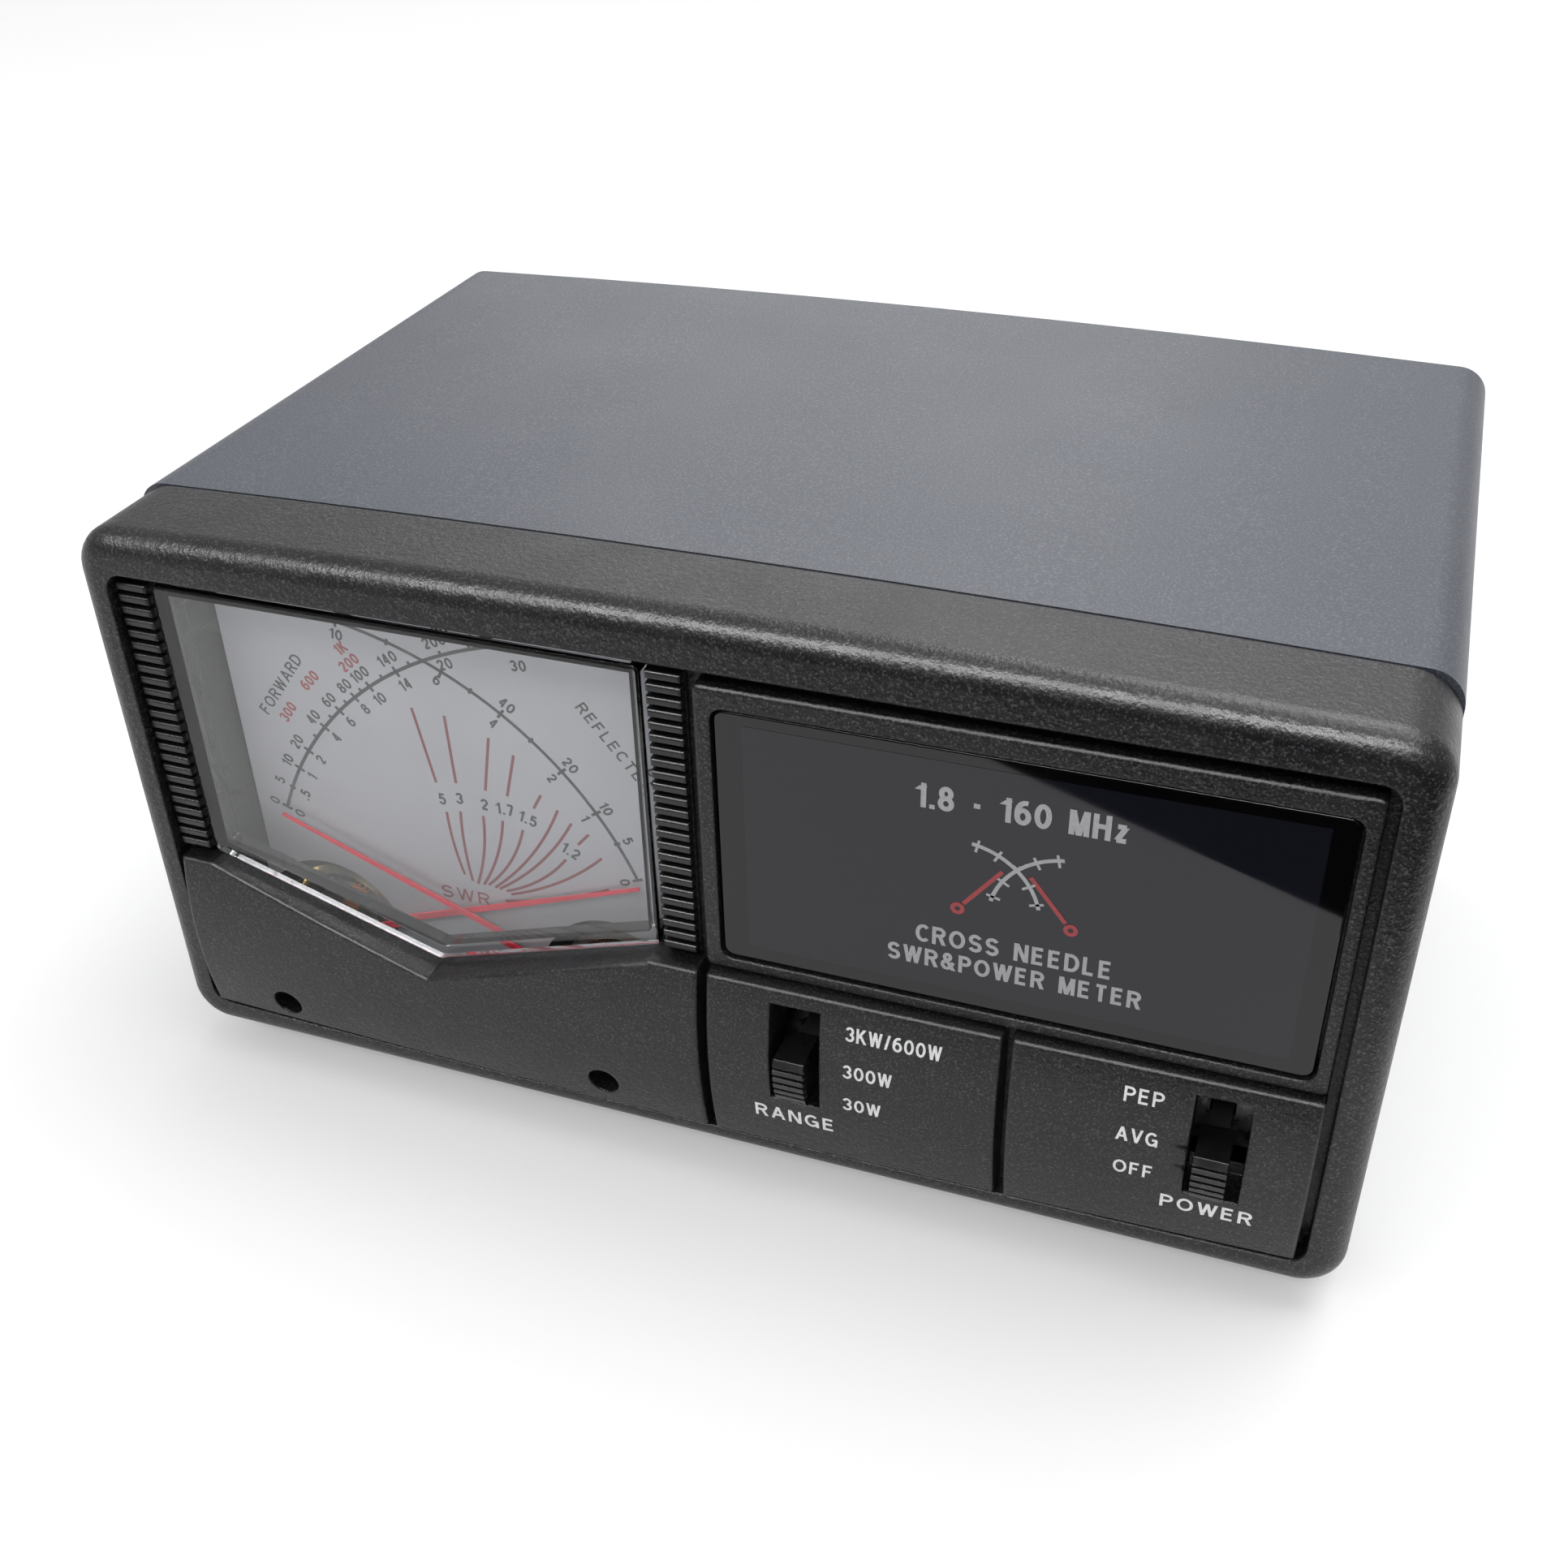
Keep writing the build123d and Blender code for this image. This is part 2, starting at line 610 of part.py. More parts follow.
def lamp_board():
    """Narrow circuit board under the top of the meter's case."""
    return block(METER_X - 16, METER_X + 16, 13.0, 24.0, 64.6, 66.0)


def dial_lamps():
    """Two small lamps on the underside of the lamp board."""
    lamps = []
    for x in (METER_X - 9, METER_X + 9):
        lamp = block(x - 1.75, x + 1.75, 14.0, 16.8, 63.2, 64.6)
        lamps.append(fillet(lamp.edges().group_by(Axis.Z)[0], 0.5))
    return group(lamps)


# ---- Movements ----

def turned(name, angle, shape):
    """Turn a shape drawn round the Y axis, counterclockwise seen from the front, and put it on a pivot."""
    return Pos(PIVOTS[name], 0, PIVOT_Z) * Rot(0, -angle, 0) * shape


def yoke(name):
    """Steel cup round a coil, with the rear jewel's hole in its back."""
    x = PIVOTS[name]
    back = CASE_BACK - SKIRT_WALL
    cup = rod(x, PIVOT_Z, YOKE_R, YOKE_FRONT, back)
    cup -= rod(x, PIVOT_Z, YOKE_BORE_R, YOKE_FRONT - 1, back - SKIRT_WALL)
    return cup - rod(x, PIVOT_Z, JEWEL_R, YOKE_FRONT, back + 1)


def core(name):
    """Magnet core, carried by two side arms in the sectors that the coil doesn't sweep."""
    body = rod(0, 0, CORE_R, COIL_FRONT + 1.4, COIL_BACK - 1.4)
    arms = block(-YOKE_BORE_R + 0.1, YOKE_BORE_R - 0.1, 18.5, 21.5, -0.9, 0.9)
    return turned(name, 0, body + arms)


def bridge(name):
    """Bar in front of the movement, on two legs, with the front jewel's hole."""
    reach = YOKE_R - 0.8
    bar = block(-reach - 0.8, reach + 0.8, BRIDGE_FRONT, BRIDGE_BACK, -1.6, 1.6)
    legs = [rod(side * reach, 0, 0.75, BRIDGE_BACK, YOKE_FRONT) for side in (-1, 1)]
    boss = rod(0, 0, 2.2, BRIDGE_FRONT, BRIDGE_BACK)
    shape = bar + legs + boss - rod(0, 0, JEWEL_R, 0, YOKE_FRONT)
    return turned(name, 45 if name == "forward" else 135, shape)


def coil(name):
    """Copper winding on its former, a rectangular loop round the core."""
    loop = block(-COIL_HALF, COIL_HALF, COIL_FRONT, COIL_BACK, -COIL_WIDTH / 2, COIL_WIDTH / 2)
    gap = COIL_HALF - COIL_BAR
    loop -= block(-gap, gap, COIL_FRONT + 0.8, COIL_BACK - 0.8, -COIL_WIDTH, COIL_WIDTH)
    return turned(name, 120 if name == "forward" else 60, loop)


def staff(name):
    """Steel pivots in front of the coil and behind it."""
    front = rod(0, 0, STAFF_R, BRIDGE_BACK + 0.4, COIL_FRONT)
    front += rod(0, 0, PIVOT_R, BRIDGE_FRONT + 0.2, BRIDGE_BACK + 0.4)
    back = rod(0, 0, PIVOT_R, COIL_BACK, CASE_BACK - SKIRT_WALL - 0.3)
    return group([turned(name, 0, front), turned(name, 0, back)])


def needle_angle(name):
    """Direction of a needle with no power, counterclockwise from +X seen from the front."""
    return 180 - NEEDLE_REST[name] if name == "forward" else NEEDLE_REST[name]


def needle(name):
    """Tapered pointer with its hub and tail."""
    y0 = NEEDLE_Y[name]
    y1 = y0 + NEEDLE_THICK
    blade = polygon((0, 0.55), (NEEDLE_LENGTH, 0.22), (NEEDLE_LENGTH, -0.22), (0, -0.55))
    tail = polygon((0, 0.5), (-7.0, 0.5), (-7.0, -0.5), (0, -0.5))
    shape = prism(blade, y0, y1) + prism(tail, y0, y1) + rod(0, 0, 1.5, y0, y1)
    return turned(name, needle_angle(name), shape - rod(0, 0, STAFF_R, y0 - 1, y1 + 1))


def counterweight(name):
    """Balance weight on the needle's tail."""
    middle = NEEDLE_Y[name] + NEEDLE_THICK / 2
    weight = Pos(-WEIGHT_RADIUS, middle, 0) * Rot(0, 90, 0) * Cylinder(0.98, 2.6)
    slot = block(-10, 0, middle - NEEDLE_THICK / 2, middle + NEEDLE_THICK / 2, -0.5, 0.5)
    return turned(name, needle_angle(name), weight - slot)


def hairspring(name):
    """Flat spiral of half circles round the staff, on its collet."""
    strip = 0.25
    step = 0.31
    radius = 1.35
    centre = 0.0
    arcs = []
    for i in range(8):
        start = 0 if i % 2 == 0 else 180
        arcs.append(CenterArc((centre, 0), radius, start, 180))
        centre += step if i % 2 else -step
        radius += step
    spiral = trace(Curve() + arcs, line_width=strip)
    collet = Circle(1.2) - Circle(STAFF_R)
    bridge_piece = Pos(1.25, 0) * Rectangle(0.4, 0.5)
    shape = prism(spiral + collet + bridge_piece, 10.9, 11.4)
    return turned(name, 20 if name == "forward" else 160, shape)


def zero_adjuster(name):
    """Slotted screw in the lens's step, with an eccentric pin behind."""
    x = METER_X + (ADJUSTER_OFFSET if name == "forward" else -ADJUSTER_OFFSET)
    z = ADJUSTER_Z
    head = rod(x, z, 1.7, SKIRT_FRONT - 1.2, SKIRT_FRONT - 0.1)
    shank = rod(x, z, 1.28, SKIRT_FRONT - 0.1, SKIRT_FRONT + SKIRT_WALL + 0.1)
    collar = rod(x, z, 1.6, SKIRT_FRONT + SKIRT_WALL + 0.1, SKIRT_FRONT + SKIRT_WALL + 0.6)
    pin = rod(x, z + 0.8, 0.4, SKIRT_FRONT + SKIRT_WALL + 0.6, BRIDGE_BACK)
    slot = block(x - 2, x + 2, SKIRT_FRONT - 2, SKIRT_FRONT - 0.6, z - 0.3, z + 0.3)
    return head + shank + collar + pin - slot


# ---- Slide switches and main board ----

def knob_x(name):
    """Middle of a knob across its slot."""
    return SLOTS[name] + KNOB_SHIFT


KNOB_Z = (KNOB_BOTTOM + KNOB_TOP) / 2


def knob(name):
    """Slide cap: convex grooved face, flat top, and a square socket for the switch's tongue."""
    x = knob_x(name)
    face = ThreePointArc((KNOB_FRONT + 1.0, KNOB_BOTTOM), (KNOB_FRONT + 0.05, KNOB_Z), (KNOB_FRONT, KNOB_TOP - 0.8))
    rest = Polyline((KNOB_FRONT, KNOB_TOP - 0.8), (KNOB_FRONT + 0.5, KNOB_TOP), (KNOB_BACK, KNOB_TOP),
                    (KNOB_BACK, KNOB_BOTTOM), (KNOB_FRONT + 1.0, KNOB_BOTTOM))
    body = side_prism(make_face([face, rest]), x - KNOB_WIDTH / 2, x + KNOB_WIDTH / 2)
    pitch = (KNOB_TOP - KNOB_BOTTOM - 0.9) / KNOB_GROOVES
    for i in range(KNOB_GROOVES):
        z = KNOB_BOTTOM + 0.75 + i * pitch
        lean = 0.9 * (1 - i / (KNOB_GROOVES - 1)) ** 2
        body -= block(x - KNOB_WIDTH, x + KNOB_WIDTH, KNOB_FRONT - 1, KNOB_FRONT + lean + 0.45, z, z + 0.5)
    return body - tongue(name)


def tongue(name):
    """The switch's own lever, square in section."""
    x = knob_x(name)
    return block(x - TONGUE_HALF, x + TONGUE_HALF, TONGUE_TIP, 11.0, KNOB_Z - TONGUE_HALF, KNOB_Z + TONGUE_HALF)


def slider(name):
    """Tongue and the carriage that moves inside the switch."""
    x = knob_x(name)
    return tongue(name) + block(x - 2.6, x + 2.6, 11.0, 13.4, KNOB_Z - 2.6, KNOB_Z + 2.6)


def switch_body(name):
    """Slide switch housing with its slot and its inner track."""
    x = knob_x(name)
    middle = KNOB_Z + TRAVEL / 2
    reach = TRAVEL / 2
    body = block(x - 4.3, x + 4.3, SWITCH_FRONT, BOARD_FRONT, middle - reach - 5.2, middle + reach + 5.2)
    body -= block(x - 2.9, x + 2.9, SWITCH_FRONT + 1, BOARD_FRONT - 1.2, middle - reach - 3.2, middle + reach + 3.2)
    slot = TONGUE_HALF + 0.3
    return body - block(x - slot, x + slot, SWITCH_FRONT - 1, SWITCH_FRONT + 2, middle - reach - slot,
                        middle + reach + slot)


def main_board():
    """Circuit board behind the window, on the bezel's bosses."""
    board = prism(rectangle(1.2, 71.8, 6.4, 64.0, 1.5), BOARD_FRONT, BOARD_BACK)
    for x, z in BOARD_BOSSES:
        board -= rod(x, z, 1.3, BOARD_FRONT - 1, BOARD_BACK + 1)
    return board


def trimmers():
    """Four calibration trimmers on the back of the main board, each a body with its slotted rotor."""
    pieces = []
    for x in (20.0, 31.0, 42.0, 53.0):
        z = 54.0
        body = block(x - 3.3, x + 3.3, BOARD_BACK, BOARD_BACK + 4.6, z - 3.3, z + 3.3)
        pieces.append(body - rod(x, z, 2.4, BOARD_BACK + 1.6, BOARD_BACK + 6))
        rotor = rod(x, z, 2.3, BOARD_BACK + 1.6, BOARD_BACK + 5.0)
        pieces.append(rotor - block(x - 3, x + 3, BOARD_BACK + 4.2, BOARD_BACK + 6, z - 0.35, z + 0.35))
    return group(pieces)


def board_parts():
    """Soldered parts on the back of the main board: three capacitors and two chips."""
    pieces = []
    for x, z, radius in ((14.0, 40.0, 3.2), (22.0, 38.5, 3.2), (60.0, 46.0, 4.0)):
        can = rod(x, z, radius, BOARD_BACK, BOARD_BACK + 9.0)
        pieces.append(fillet(can.edges().group_by(Axis.Y)[-1], 0.6))
    for x in (38.0, 51.0):
        pieces.append(block(x - 4.9, x + 4.9, BOARD_BACK, BOARD_BACK + 3.2, 36.0, 42.4))
    return group(pieces)


# ---- Rear sockets ----

def socket_holes(x):
    """Centres of a coaxial socket's four flange holes."""
    half = SOCKET_HOLES / 2
    return [(x + dx, SOCKET_Z + dz) for dx in (-half, half) for dz in (-half, half)]


def socket_shell(x):
    """Flange, threaded barrel with four notches at its mouth, and the rear boss."""
    face = REAR_BACK + SOCKET_FLANGE_THICK
    half = SOCKET_FLANGE / 2
    flange = rectangle(x - half, x + half, SOCKET_Z - half, SOCKET_Z + half, 2.2)
    shell = prism(flange, REAR_BACK, face)
    shell += rod(x, SOCKET_Z, SOCKET_THREAD_R, face, SOCKET_BACK)
    shell += rod(x, SOCKET_Z, 8.0, REAR_FRONT - 0.8, REAR_BACK)
    shell -= rod(x, SOCKET_Z, 5.0, REAR_FRONT - 2, face + 3)
    shell -= rod(x, SOCKET_Z, 6.4, face + 3, SOCKET_BACK + 1)
    for angle in (45, 135):
        notch = block(-12, 12, SOCKET_BACK - 1.3, SOCKET_BACK + 1, -0.7, 0.7)
        shell -= Pos(x, 0, SOCKET_Z) * Rot(0, angle, 0) * notch
    for hole in socket_holes(x):
        shell -= rod(*hole, 1.6, REAR_BACK - 1, face + 1)
    return shell


def socket_insulators():
    """White plugs that carry the centre contacts."""
    plugs = []
    for x in SOCKETS.values():
        face = REAR_BACK + SOCKET_FLANGE_THICK
        plug = rod(x, SOCKET_Z, 4.98, REAR_FRONT - 2.5, face + 3)
        plug += rod(x, SOCKET_Z, 6.38, face + 3, face + 4.2)
        plugs.append(plug - rod(x, SOCKET_Z, 2.9, REAR_FRONT - 4, face + 6))
    return group(plugs)


def socket_contacts():
    """Split centre contacts with their solder tails."""
    contacts = []
    for x in SOCKETS.values():
        end = SOCKET_BACK - 2.5
        contact = rod(x, SOCKET_Z, 2.88, REAR_FRONT - 3.5, end) + rod(x, SOCKET_Z, 1.5, 86.0, REAR_FRONT - 3.5)
        contact -= rod(x, SOCKET_Z, 2.0, end - 9.5, end + 1)
        for angle in (0, 90):
            slit = block(-4, 4, end - 6.5, end + 1, -0.2, 0.2)
            contact -= Pos(x, 0, SOCKET_Z) * Rot(0, angle, 0) * slit
        contacts.append(contact)
    return group(contacts)


def rear_screws():
    """Screws in the rear panel: eight through the socket flanges into the coupler box, three into the tray."""
    screws = []
    for x in SOCKETS.values():
        for hole in socket_holes(x):
            screws.append(pan_screw(*hole, 1.45, REAR_FRONT - 3, REAR_BACK + SOCKET_FLANGE_THICK, 2.7, 1.7))
    for hole in REAR_SCREWS:
        screws.append(pan_screw(*hole, 1.45, REAR_FRONT - 3, REAR_BACK, 2.7, 1.7))
    return group(screws)


def supply_jack():
    """Low voltage jack: outer rim, bushing through the panel, blind bore."""
    body = rod(JACK_X, JACK_Z, 5.4, REAR_BACK, REAR_BACK + 1.4)
    body = fillet(body.edges().group_by(Axis.Y)[-1], 0.5)
    body += rod(JACK_X, JACK_Z, 4.0, 85.5, REAR_BACK)
    return body - rod(JACK_X, JACK_Z, JACK_BORE_R, 87.5, REAR_BACK + 2)


def jack_pin():
    """Centre pin of the supply jack, with its rounded end."""
    pin = rod(JACK_X, JACK_Z, 1.0, 87.5, REAR_BACK - 0.5)
    return fillet(pin.edges().group_by(Axis.Y)[-1], 0.5)


def jack_nut():
    """Hexagon nut inside the rear panel."""
    outline = Pos(JACK_X, JACK_Z) * (RegularPolygon(6.0, 6) - Circle(4.03))
    return prism(outline, REAR_FRONT - 2.2, REAR_FRONT)


# ---- Coupler ----

def coupler_box():
    """Folded shield box, open on top, fixed to the rear panel by the socket screws."""
    box = block(-BOX_HALF, BOX_HALF, BOX_FRONT, REAR_FRONT, BOX_BOTTOM, BOX_TOP)
    box -= block(-BOX_HALF + BOX_WALL, BOX_HALF - BOX_WALL, BOX_FRONT + BOX_WALL, REAR_FRONT - BOX_WALL,
                 BOX_BOTTOM + BOX_WALL, BOX_TOP + 1)
    for x in SOCKETS.values():
        box -= rod(x, SOCKET_Z, 8.3, REAR_FRONT - 3, REAR_FRONT + 1)
        for hole in socket_holes(x):
            box -= rod(*hole, 1.48, REAR_FRONT - 3, REAR_FRONT + 1)
    return box - rod(CABLE_START[0], CABLE_START[2], 1.7, BOX_FRONT - 1, BOX_FRONT + 2)


def coupler_lid():
    """Lid with short turned-down edges outside the box."""
    grow = BOX_WALL + 0.1
    lid = block(-BOX_HALF - grow, BOX_HALF + grow, BOX_FRONT - grow, REAR_FRONT - 0.1, BOX_TOP - 5, BOX_TOP + BOX_WALL)
    lid -= block(-BOX_HALF - 0.1, BOX_HALF + 0.1, BOX_FRONT - 0.1, REAR_FRONT + 1, BOX_TOP - 6, BOX_TOP)
    return lid


def coupler_board():
    """Circuit board on four posts above the box's floor."""
    board = block(-38, 38, 63.5, 91.0, 26.4, 28.0)
    posts = []
    for x in (-35, 35):
        for y in (66.5, 88.0):
            posts.append(post(x, y, 1.8, BOX_BOTTOM + BOX_WALL, 26.4))
    return board + posts


def coupler_line():
    """Through line between the two sockets: a rod with a leg to each contact."""
    legs = [rod(x, SOCKET_Z, LINE_R, LINE_Y, 86.0) for x in SOCKETS.values()]
    corners = [Pos(x, LINE_Y, SOCKET_Z) * Sphere(LINE_R) for x in SOCKETS.values()]
    bar = Pos(0, LINE_Y, SOCKET_Z) * Rot(0, 90, 0) * Cylinder(LINE_R, 2 * SOCKET_X)
    return bar + legs + corners


def line_sleeve():
    """Plastic sleeve that centres the toroid on the line."""
    return Pos(0, LINE_Y, SOCKET_Z) * Rot(0, 90, 0) * (Cylinder(4.0, 12) - Cylinder(LINE_R + 0.03, 12))


def coupler_toroid():
    """Ferrite ring of the current transformer."""
    ring = Cylinder(9.0, 7) - Cylinder(4.05, 7)
    ring = fillet(ring.edges(), 0.7)
    return Pos(0, LINE_Y, SOCKET_Z) * Rot(0, 90, 0) * ring


CABLE_R = 1.5
CABLE_START = (20.0, BOX_FRONT + 1.5, 31.0)
CABLE_ROUTE = [CABLE_START, (20.0, 47.0, 31.0), (32.0, 36.0, 24.0), (32.0, BOARD_BACK + 7.0, 24.0)]
CABLE_BENDS = [12.0, 9.0]


def signal_cable():
    """Screened lead from the coupler box to the main board."""
    path = FilletPolyline(*CABLE_ROUTE, radius=CABLE_BENDS)
    start = Plane(origin=CABLE_START, z_dir=(0, -1, 0))
    return sweep(start * Circle(CABLE_R), path=path)


def cable_plug():
    """Plug and header at the board's end of the lead."""
    x, y, z = CABLE_ROUTE[-1]
    return block(x - 5, x + 5, BOARD_BACK, y, z - 2.9, z + 2.9)


# ---- Assembly ----

keep("front_bezel", front_bezel())
keep("top_cover", top_cover())
keep("cover_screws", cover_screws())
keep("chassis_tray", chassis_tray())
keep("rear_panel", rear_panel())
keep("rear_screws", rear_screws())
keep("feet", feet())
keep("floor_screws", floor_screws())
keep("meter_panel", meter_panel())
keep("range_panel", switch_panel("range"))
keep("power_panel", switch_panel("power"))
keep("window_frame", window_frame())
keep("display_window", display_window())
keep("window_card", window_card())
keep("rib_strips", group([rib_strip(LEFT_RIB_X), rib_strip(RIGHT_RIB_X)]))
keep("meter_lens", meter_lens())
keep("meter_case", meter_case())
keep("boss_screws", boss_screws())
keep("meter_terminals", meter_terminals())
keep("dial_plate", dial_plate())
keep("dial_screws", dial_screws())
keep("lamp_board", lamp_board())
keep("dial_lamps", dial_lamps())
keep("magnet_yokes", group([yoke(name) for name in PIVOTS]))
keep("magnet_cores", group([core(name) for name in PIVOTS]))
keep("movement_bridges", group([bridge(name) for name in PIVOTS]))
for side_name in PIVOTS:
    keep(side_name + "_coil", coil(side_name))
    keep(side_name + "_staff", staff(side_name))
    keep(side_name + "_needle", needle(side_name))
    keep(side_name + "_counterweight", counterweight(side_name))
    keep(side_name + "_hairspring", hairspring(side_name))
    keep(side_name + "_zero_adjuster", zero_adjuster(side_name))
keep("switch_bodies", group([switch_body(name) for name in SLOTS]))
for switch_name in SLOTS:
    keep(switch_name + "_knob", knob(switch_name))
    keep(switch_name + "_slider", slider(switch_name))
keep("main_board", main_board())
keep("trimmers", trimmers())
keep("board_parts", board_parts())
keep("coax_sockets", group([socket_shell(x) for x in SOCKETS.values()]))
keep("socket_insulators", socket_insulators())
keep("socket_contacts", socket_contacts())
keep("supply_jack", supply_jack())
keep("jack_pin", jack_pin())
keep("jack_nut", jack_nut())
keep("coupler_box", coupler_box())
keep("coupler_lid", coupler_lid())
keep("coupler_board", coupler_board())
keep("coupler_line", coupler_line())
keep("line_sleeve", line_sleeve())
keep("coupler_toroid", coupler_toroid())
keep("signal_cable", signal_cable())
keep("cable_plug", cable_plug())

to_own_frame = Location((0, -CENTRE_Y, FOOT_HEIGHT))
for part_name, part_shape in parts.items():
    export_step(part_shape.moved(to_own_frame), "parts/" + part_name + ".step")
print(len(parts), "parts; front plane at y =", -CENTRE_Y)
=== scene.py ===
"""Looks of the cross-needle SWR and power meter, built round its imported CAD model.

Everything is in metres in the model's own frame, and MM turns millimetres into metres. FRONT is the front
rim of the bezel and BASE the underside of the case, so at(x, y, z) takes the same millimetres as the case is
drawn in: x from the middle, y back from the bezel's rim, z up from the underside.
"""

import json
import math

import bmesh
import bpy
from mathutils import Euler, Matrix, Vector
from mathutils.bvhtree import BVHTree


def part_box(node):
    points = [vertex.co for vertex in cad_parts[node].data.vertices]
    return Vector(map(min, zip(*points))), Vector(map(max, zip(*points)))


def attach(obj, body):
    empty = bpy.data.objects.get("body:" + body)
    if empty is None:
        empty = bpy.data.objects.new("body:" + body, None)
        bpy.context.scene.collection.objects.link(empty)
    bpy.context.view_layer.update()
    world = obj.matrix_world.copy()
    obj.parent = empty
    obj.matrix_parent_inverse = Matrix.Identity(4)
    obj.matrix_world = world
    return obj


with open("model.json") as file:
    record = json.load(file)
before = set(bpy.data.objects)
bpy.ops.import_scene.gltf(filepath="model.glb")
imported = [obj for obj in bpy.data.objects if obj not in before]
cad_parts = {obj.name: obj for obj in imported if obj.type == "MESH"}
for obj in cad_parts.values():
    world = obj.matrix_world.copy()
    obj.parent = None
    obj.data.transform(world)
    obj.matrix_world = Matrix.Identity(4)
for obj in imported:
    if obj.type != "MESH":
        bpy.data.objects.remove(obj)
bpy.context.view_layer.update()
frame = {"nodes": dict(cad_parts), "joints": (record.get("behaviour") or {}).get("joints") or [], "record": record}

MM = 0.001
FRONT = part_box("front_bezel")[0].y
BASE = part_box("front_bezel")[0].z
SLOT_OF = {part["node"]: part["material_slot"] for part in frame["record"]["subparts"]}
JOINTS = {joint["name"]: joint for joint in frame["joints"]}


def at(x, y, z):
    """A point of the case, given in millimetres, as metres in the model's frame."""
    return Vector((x * MM, FRONT + y * MM, BASE + z * MM))


# ---- Materials ----
# Sizes of grain and depths of relief are in millimetres.

EDGE_SAMPLES = 4
# Pale colours painted onto the fine grain as glints: a painted highlight where the plastic's and the paint's grain
# catch the light.
PLASTIC_GLINT_COLOUR = (0.4, 0.4, 0.44)      # where the plastic's grain catches the light
GLINT_COLOUR = (0.5, 0.52, 0.56)     # where the paint's does
ACRYLIC_IOR = 1.49
STYRENE_IOR = 1.5
BOARD_GRID = 2.54
WIRE_PITCH = 1.2


def new_material(name, colour, roughness, metallic=0.0, **sockets):
    """A Principled material with plain values. Returns the material, its tree and its shader."""
    made = bpy.data.materials.new(name)
    made.use_nodes = True
    tree = made.node_tree
    shader = tree.nodes["Principled BSDF"]
    shader.inputs["Base Color"].default_value = (*colour, 1.0)
    shader.inputs["Roughness"].default_value = roughness
    shader.inputs["Metallic"].default_value = metallic
    for socket, value in sockets.items():
        shader.inputs[socket.replace("_", " ")].default_value = value
    return made, tree, shader


def node(tree, kind, inputs=None, **settings):
    """Add a node, set its properties, and set or link its inputs."""
    made = tree.nodes.new("ShaderNode" + kind)
    for name, value in settings.items():
        setattr(made, name, value)
    for name, value in (inputs or {}).items():
        if isinstance(value, bpy.types.NodeSocket):
            tree.links.new(value, made.inputs[name])
        else:
            made.inputs[name].default_value = value
    return made


def place(tree):
    """Coordinates of the model's frame."""
    return node(tree, "TexCoord").outputs["Object"]


def noise(tree, size, detail=2.0, rough=0.5):
    """Noise from 0 to 1 whose grain is about size."""
    inputs = {"Vector": place(tree), "Scale": 1 / (size * MM), "Detail": detail, "Roughness": rough}
    return node(tree, "TexNoise", inputs).outputs["Fac"]


def cells(tree, size):
    """Distance from the nearest of scattered points that are about size apart."""
    inputs = {"Vector": place(tree), "Scale": 1 / (size * MM)}
    return node(tree, "TexVoronoi", inputs).outputs["Distance"]


def spread(tree, value, low, high, start=0.0, end=1.0):
    """Map value from start...end onto low...high, held at the ends."""
    inputs = {"Value": value, "From Min": start, "From Max": end, "To Min": low, "To Max": high}
    return node(tree, "MapRange", inputs).outputs["Result"]


def blend_colours(tree, share, first, second):
    """Colour between first and second, by share."""
    made = node(tree, "Mix", data_type="RGBA")
    tree.links.new(share, made.inputs["Factor"])
    for slot_index, colour in ((6, first), (7, second)):
        if isinstance(colour, bpy.types.NodeSocket):
            tree.links.new(colour, made.inputs[slot_index])
        else:
            made.inputs[slot_index].default_value = (*colour, 1.0)
    return made.outputs[2]


def shade(colour, factor):
    """A colour made lighter or darker."""
    return tuple(min(1.0, channel * factor) for channel in colour)


def tint(tree, shader, colour, dark, light, size, detail=3.0):
    """Let the base colour wander between a darker and a lighter shade of itself."""
    share = spread(tree, noise(tree, size, detail), 0.0, 1.0, start=0.3, end=0.7)
    mixed = blend_colours(tree, share, shade(colour, dark), shade(colour, light))
    tree.links.new(mixed, shader.inputs["Base Color"])
    return mixed


def wander(tree, shader, low, high, size, detail=3.0):
    """Let the roughness wander between two values."""
    value = spread(tree, noise(tree, size, detail), low, high, start=0.3, end=0.7)
    tree.links.new(value, shader.inputs["Roughness"])


def relief(tree, shader, height, depth, before=None):
    """Bump of the given depth. Returns the normal, so that bumps can be stacked."""
    inputs = {"Height": height, "Distance": depth * MM, "Strength": 1.0}
    if before is not None:
        inputs["Normal"] = before
    normal = node(tree, "Bump", inputs).outputs["Normal"]
    tree.links.new(normal, shader.inputs["Normal"])
    return normal


def soft_edges(tree, shader, radius, polish):
    """Round edges off in the shading and polish them, as handling does. Returns the rounded normal."""
    rounded = node(tree, "Bevel", {"Radius": radius * MM}, samples=EDGE_SAMPLES).outputs["Normal"]
    plain = node(tree, "NewGeometry").outputs["Normal"]
    turn = node(tree, "VectorMath", {0: rounded, 1: plain}, operation="DOT_PRODUCT").outputs["Value"]
    share = spread(tree, turn, polish, 0.0, start=0.8, end=0.99)
    before = shader.inputs["Roughness"].links[0].from_socket
    smoother = node(tree, "Math", {0: before, 1: share}, operation="SUBTRACT").outputs["Value"]
    tree.links.new(smoother, shader.inputs["Roughness"])
    return rounded


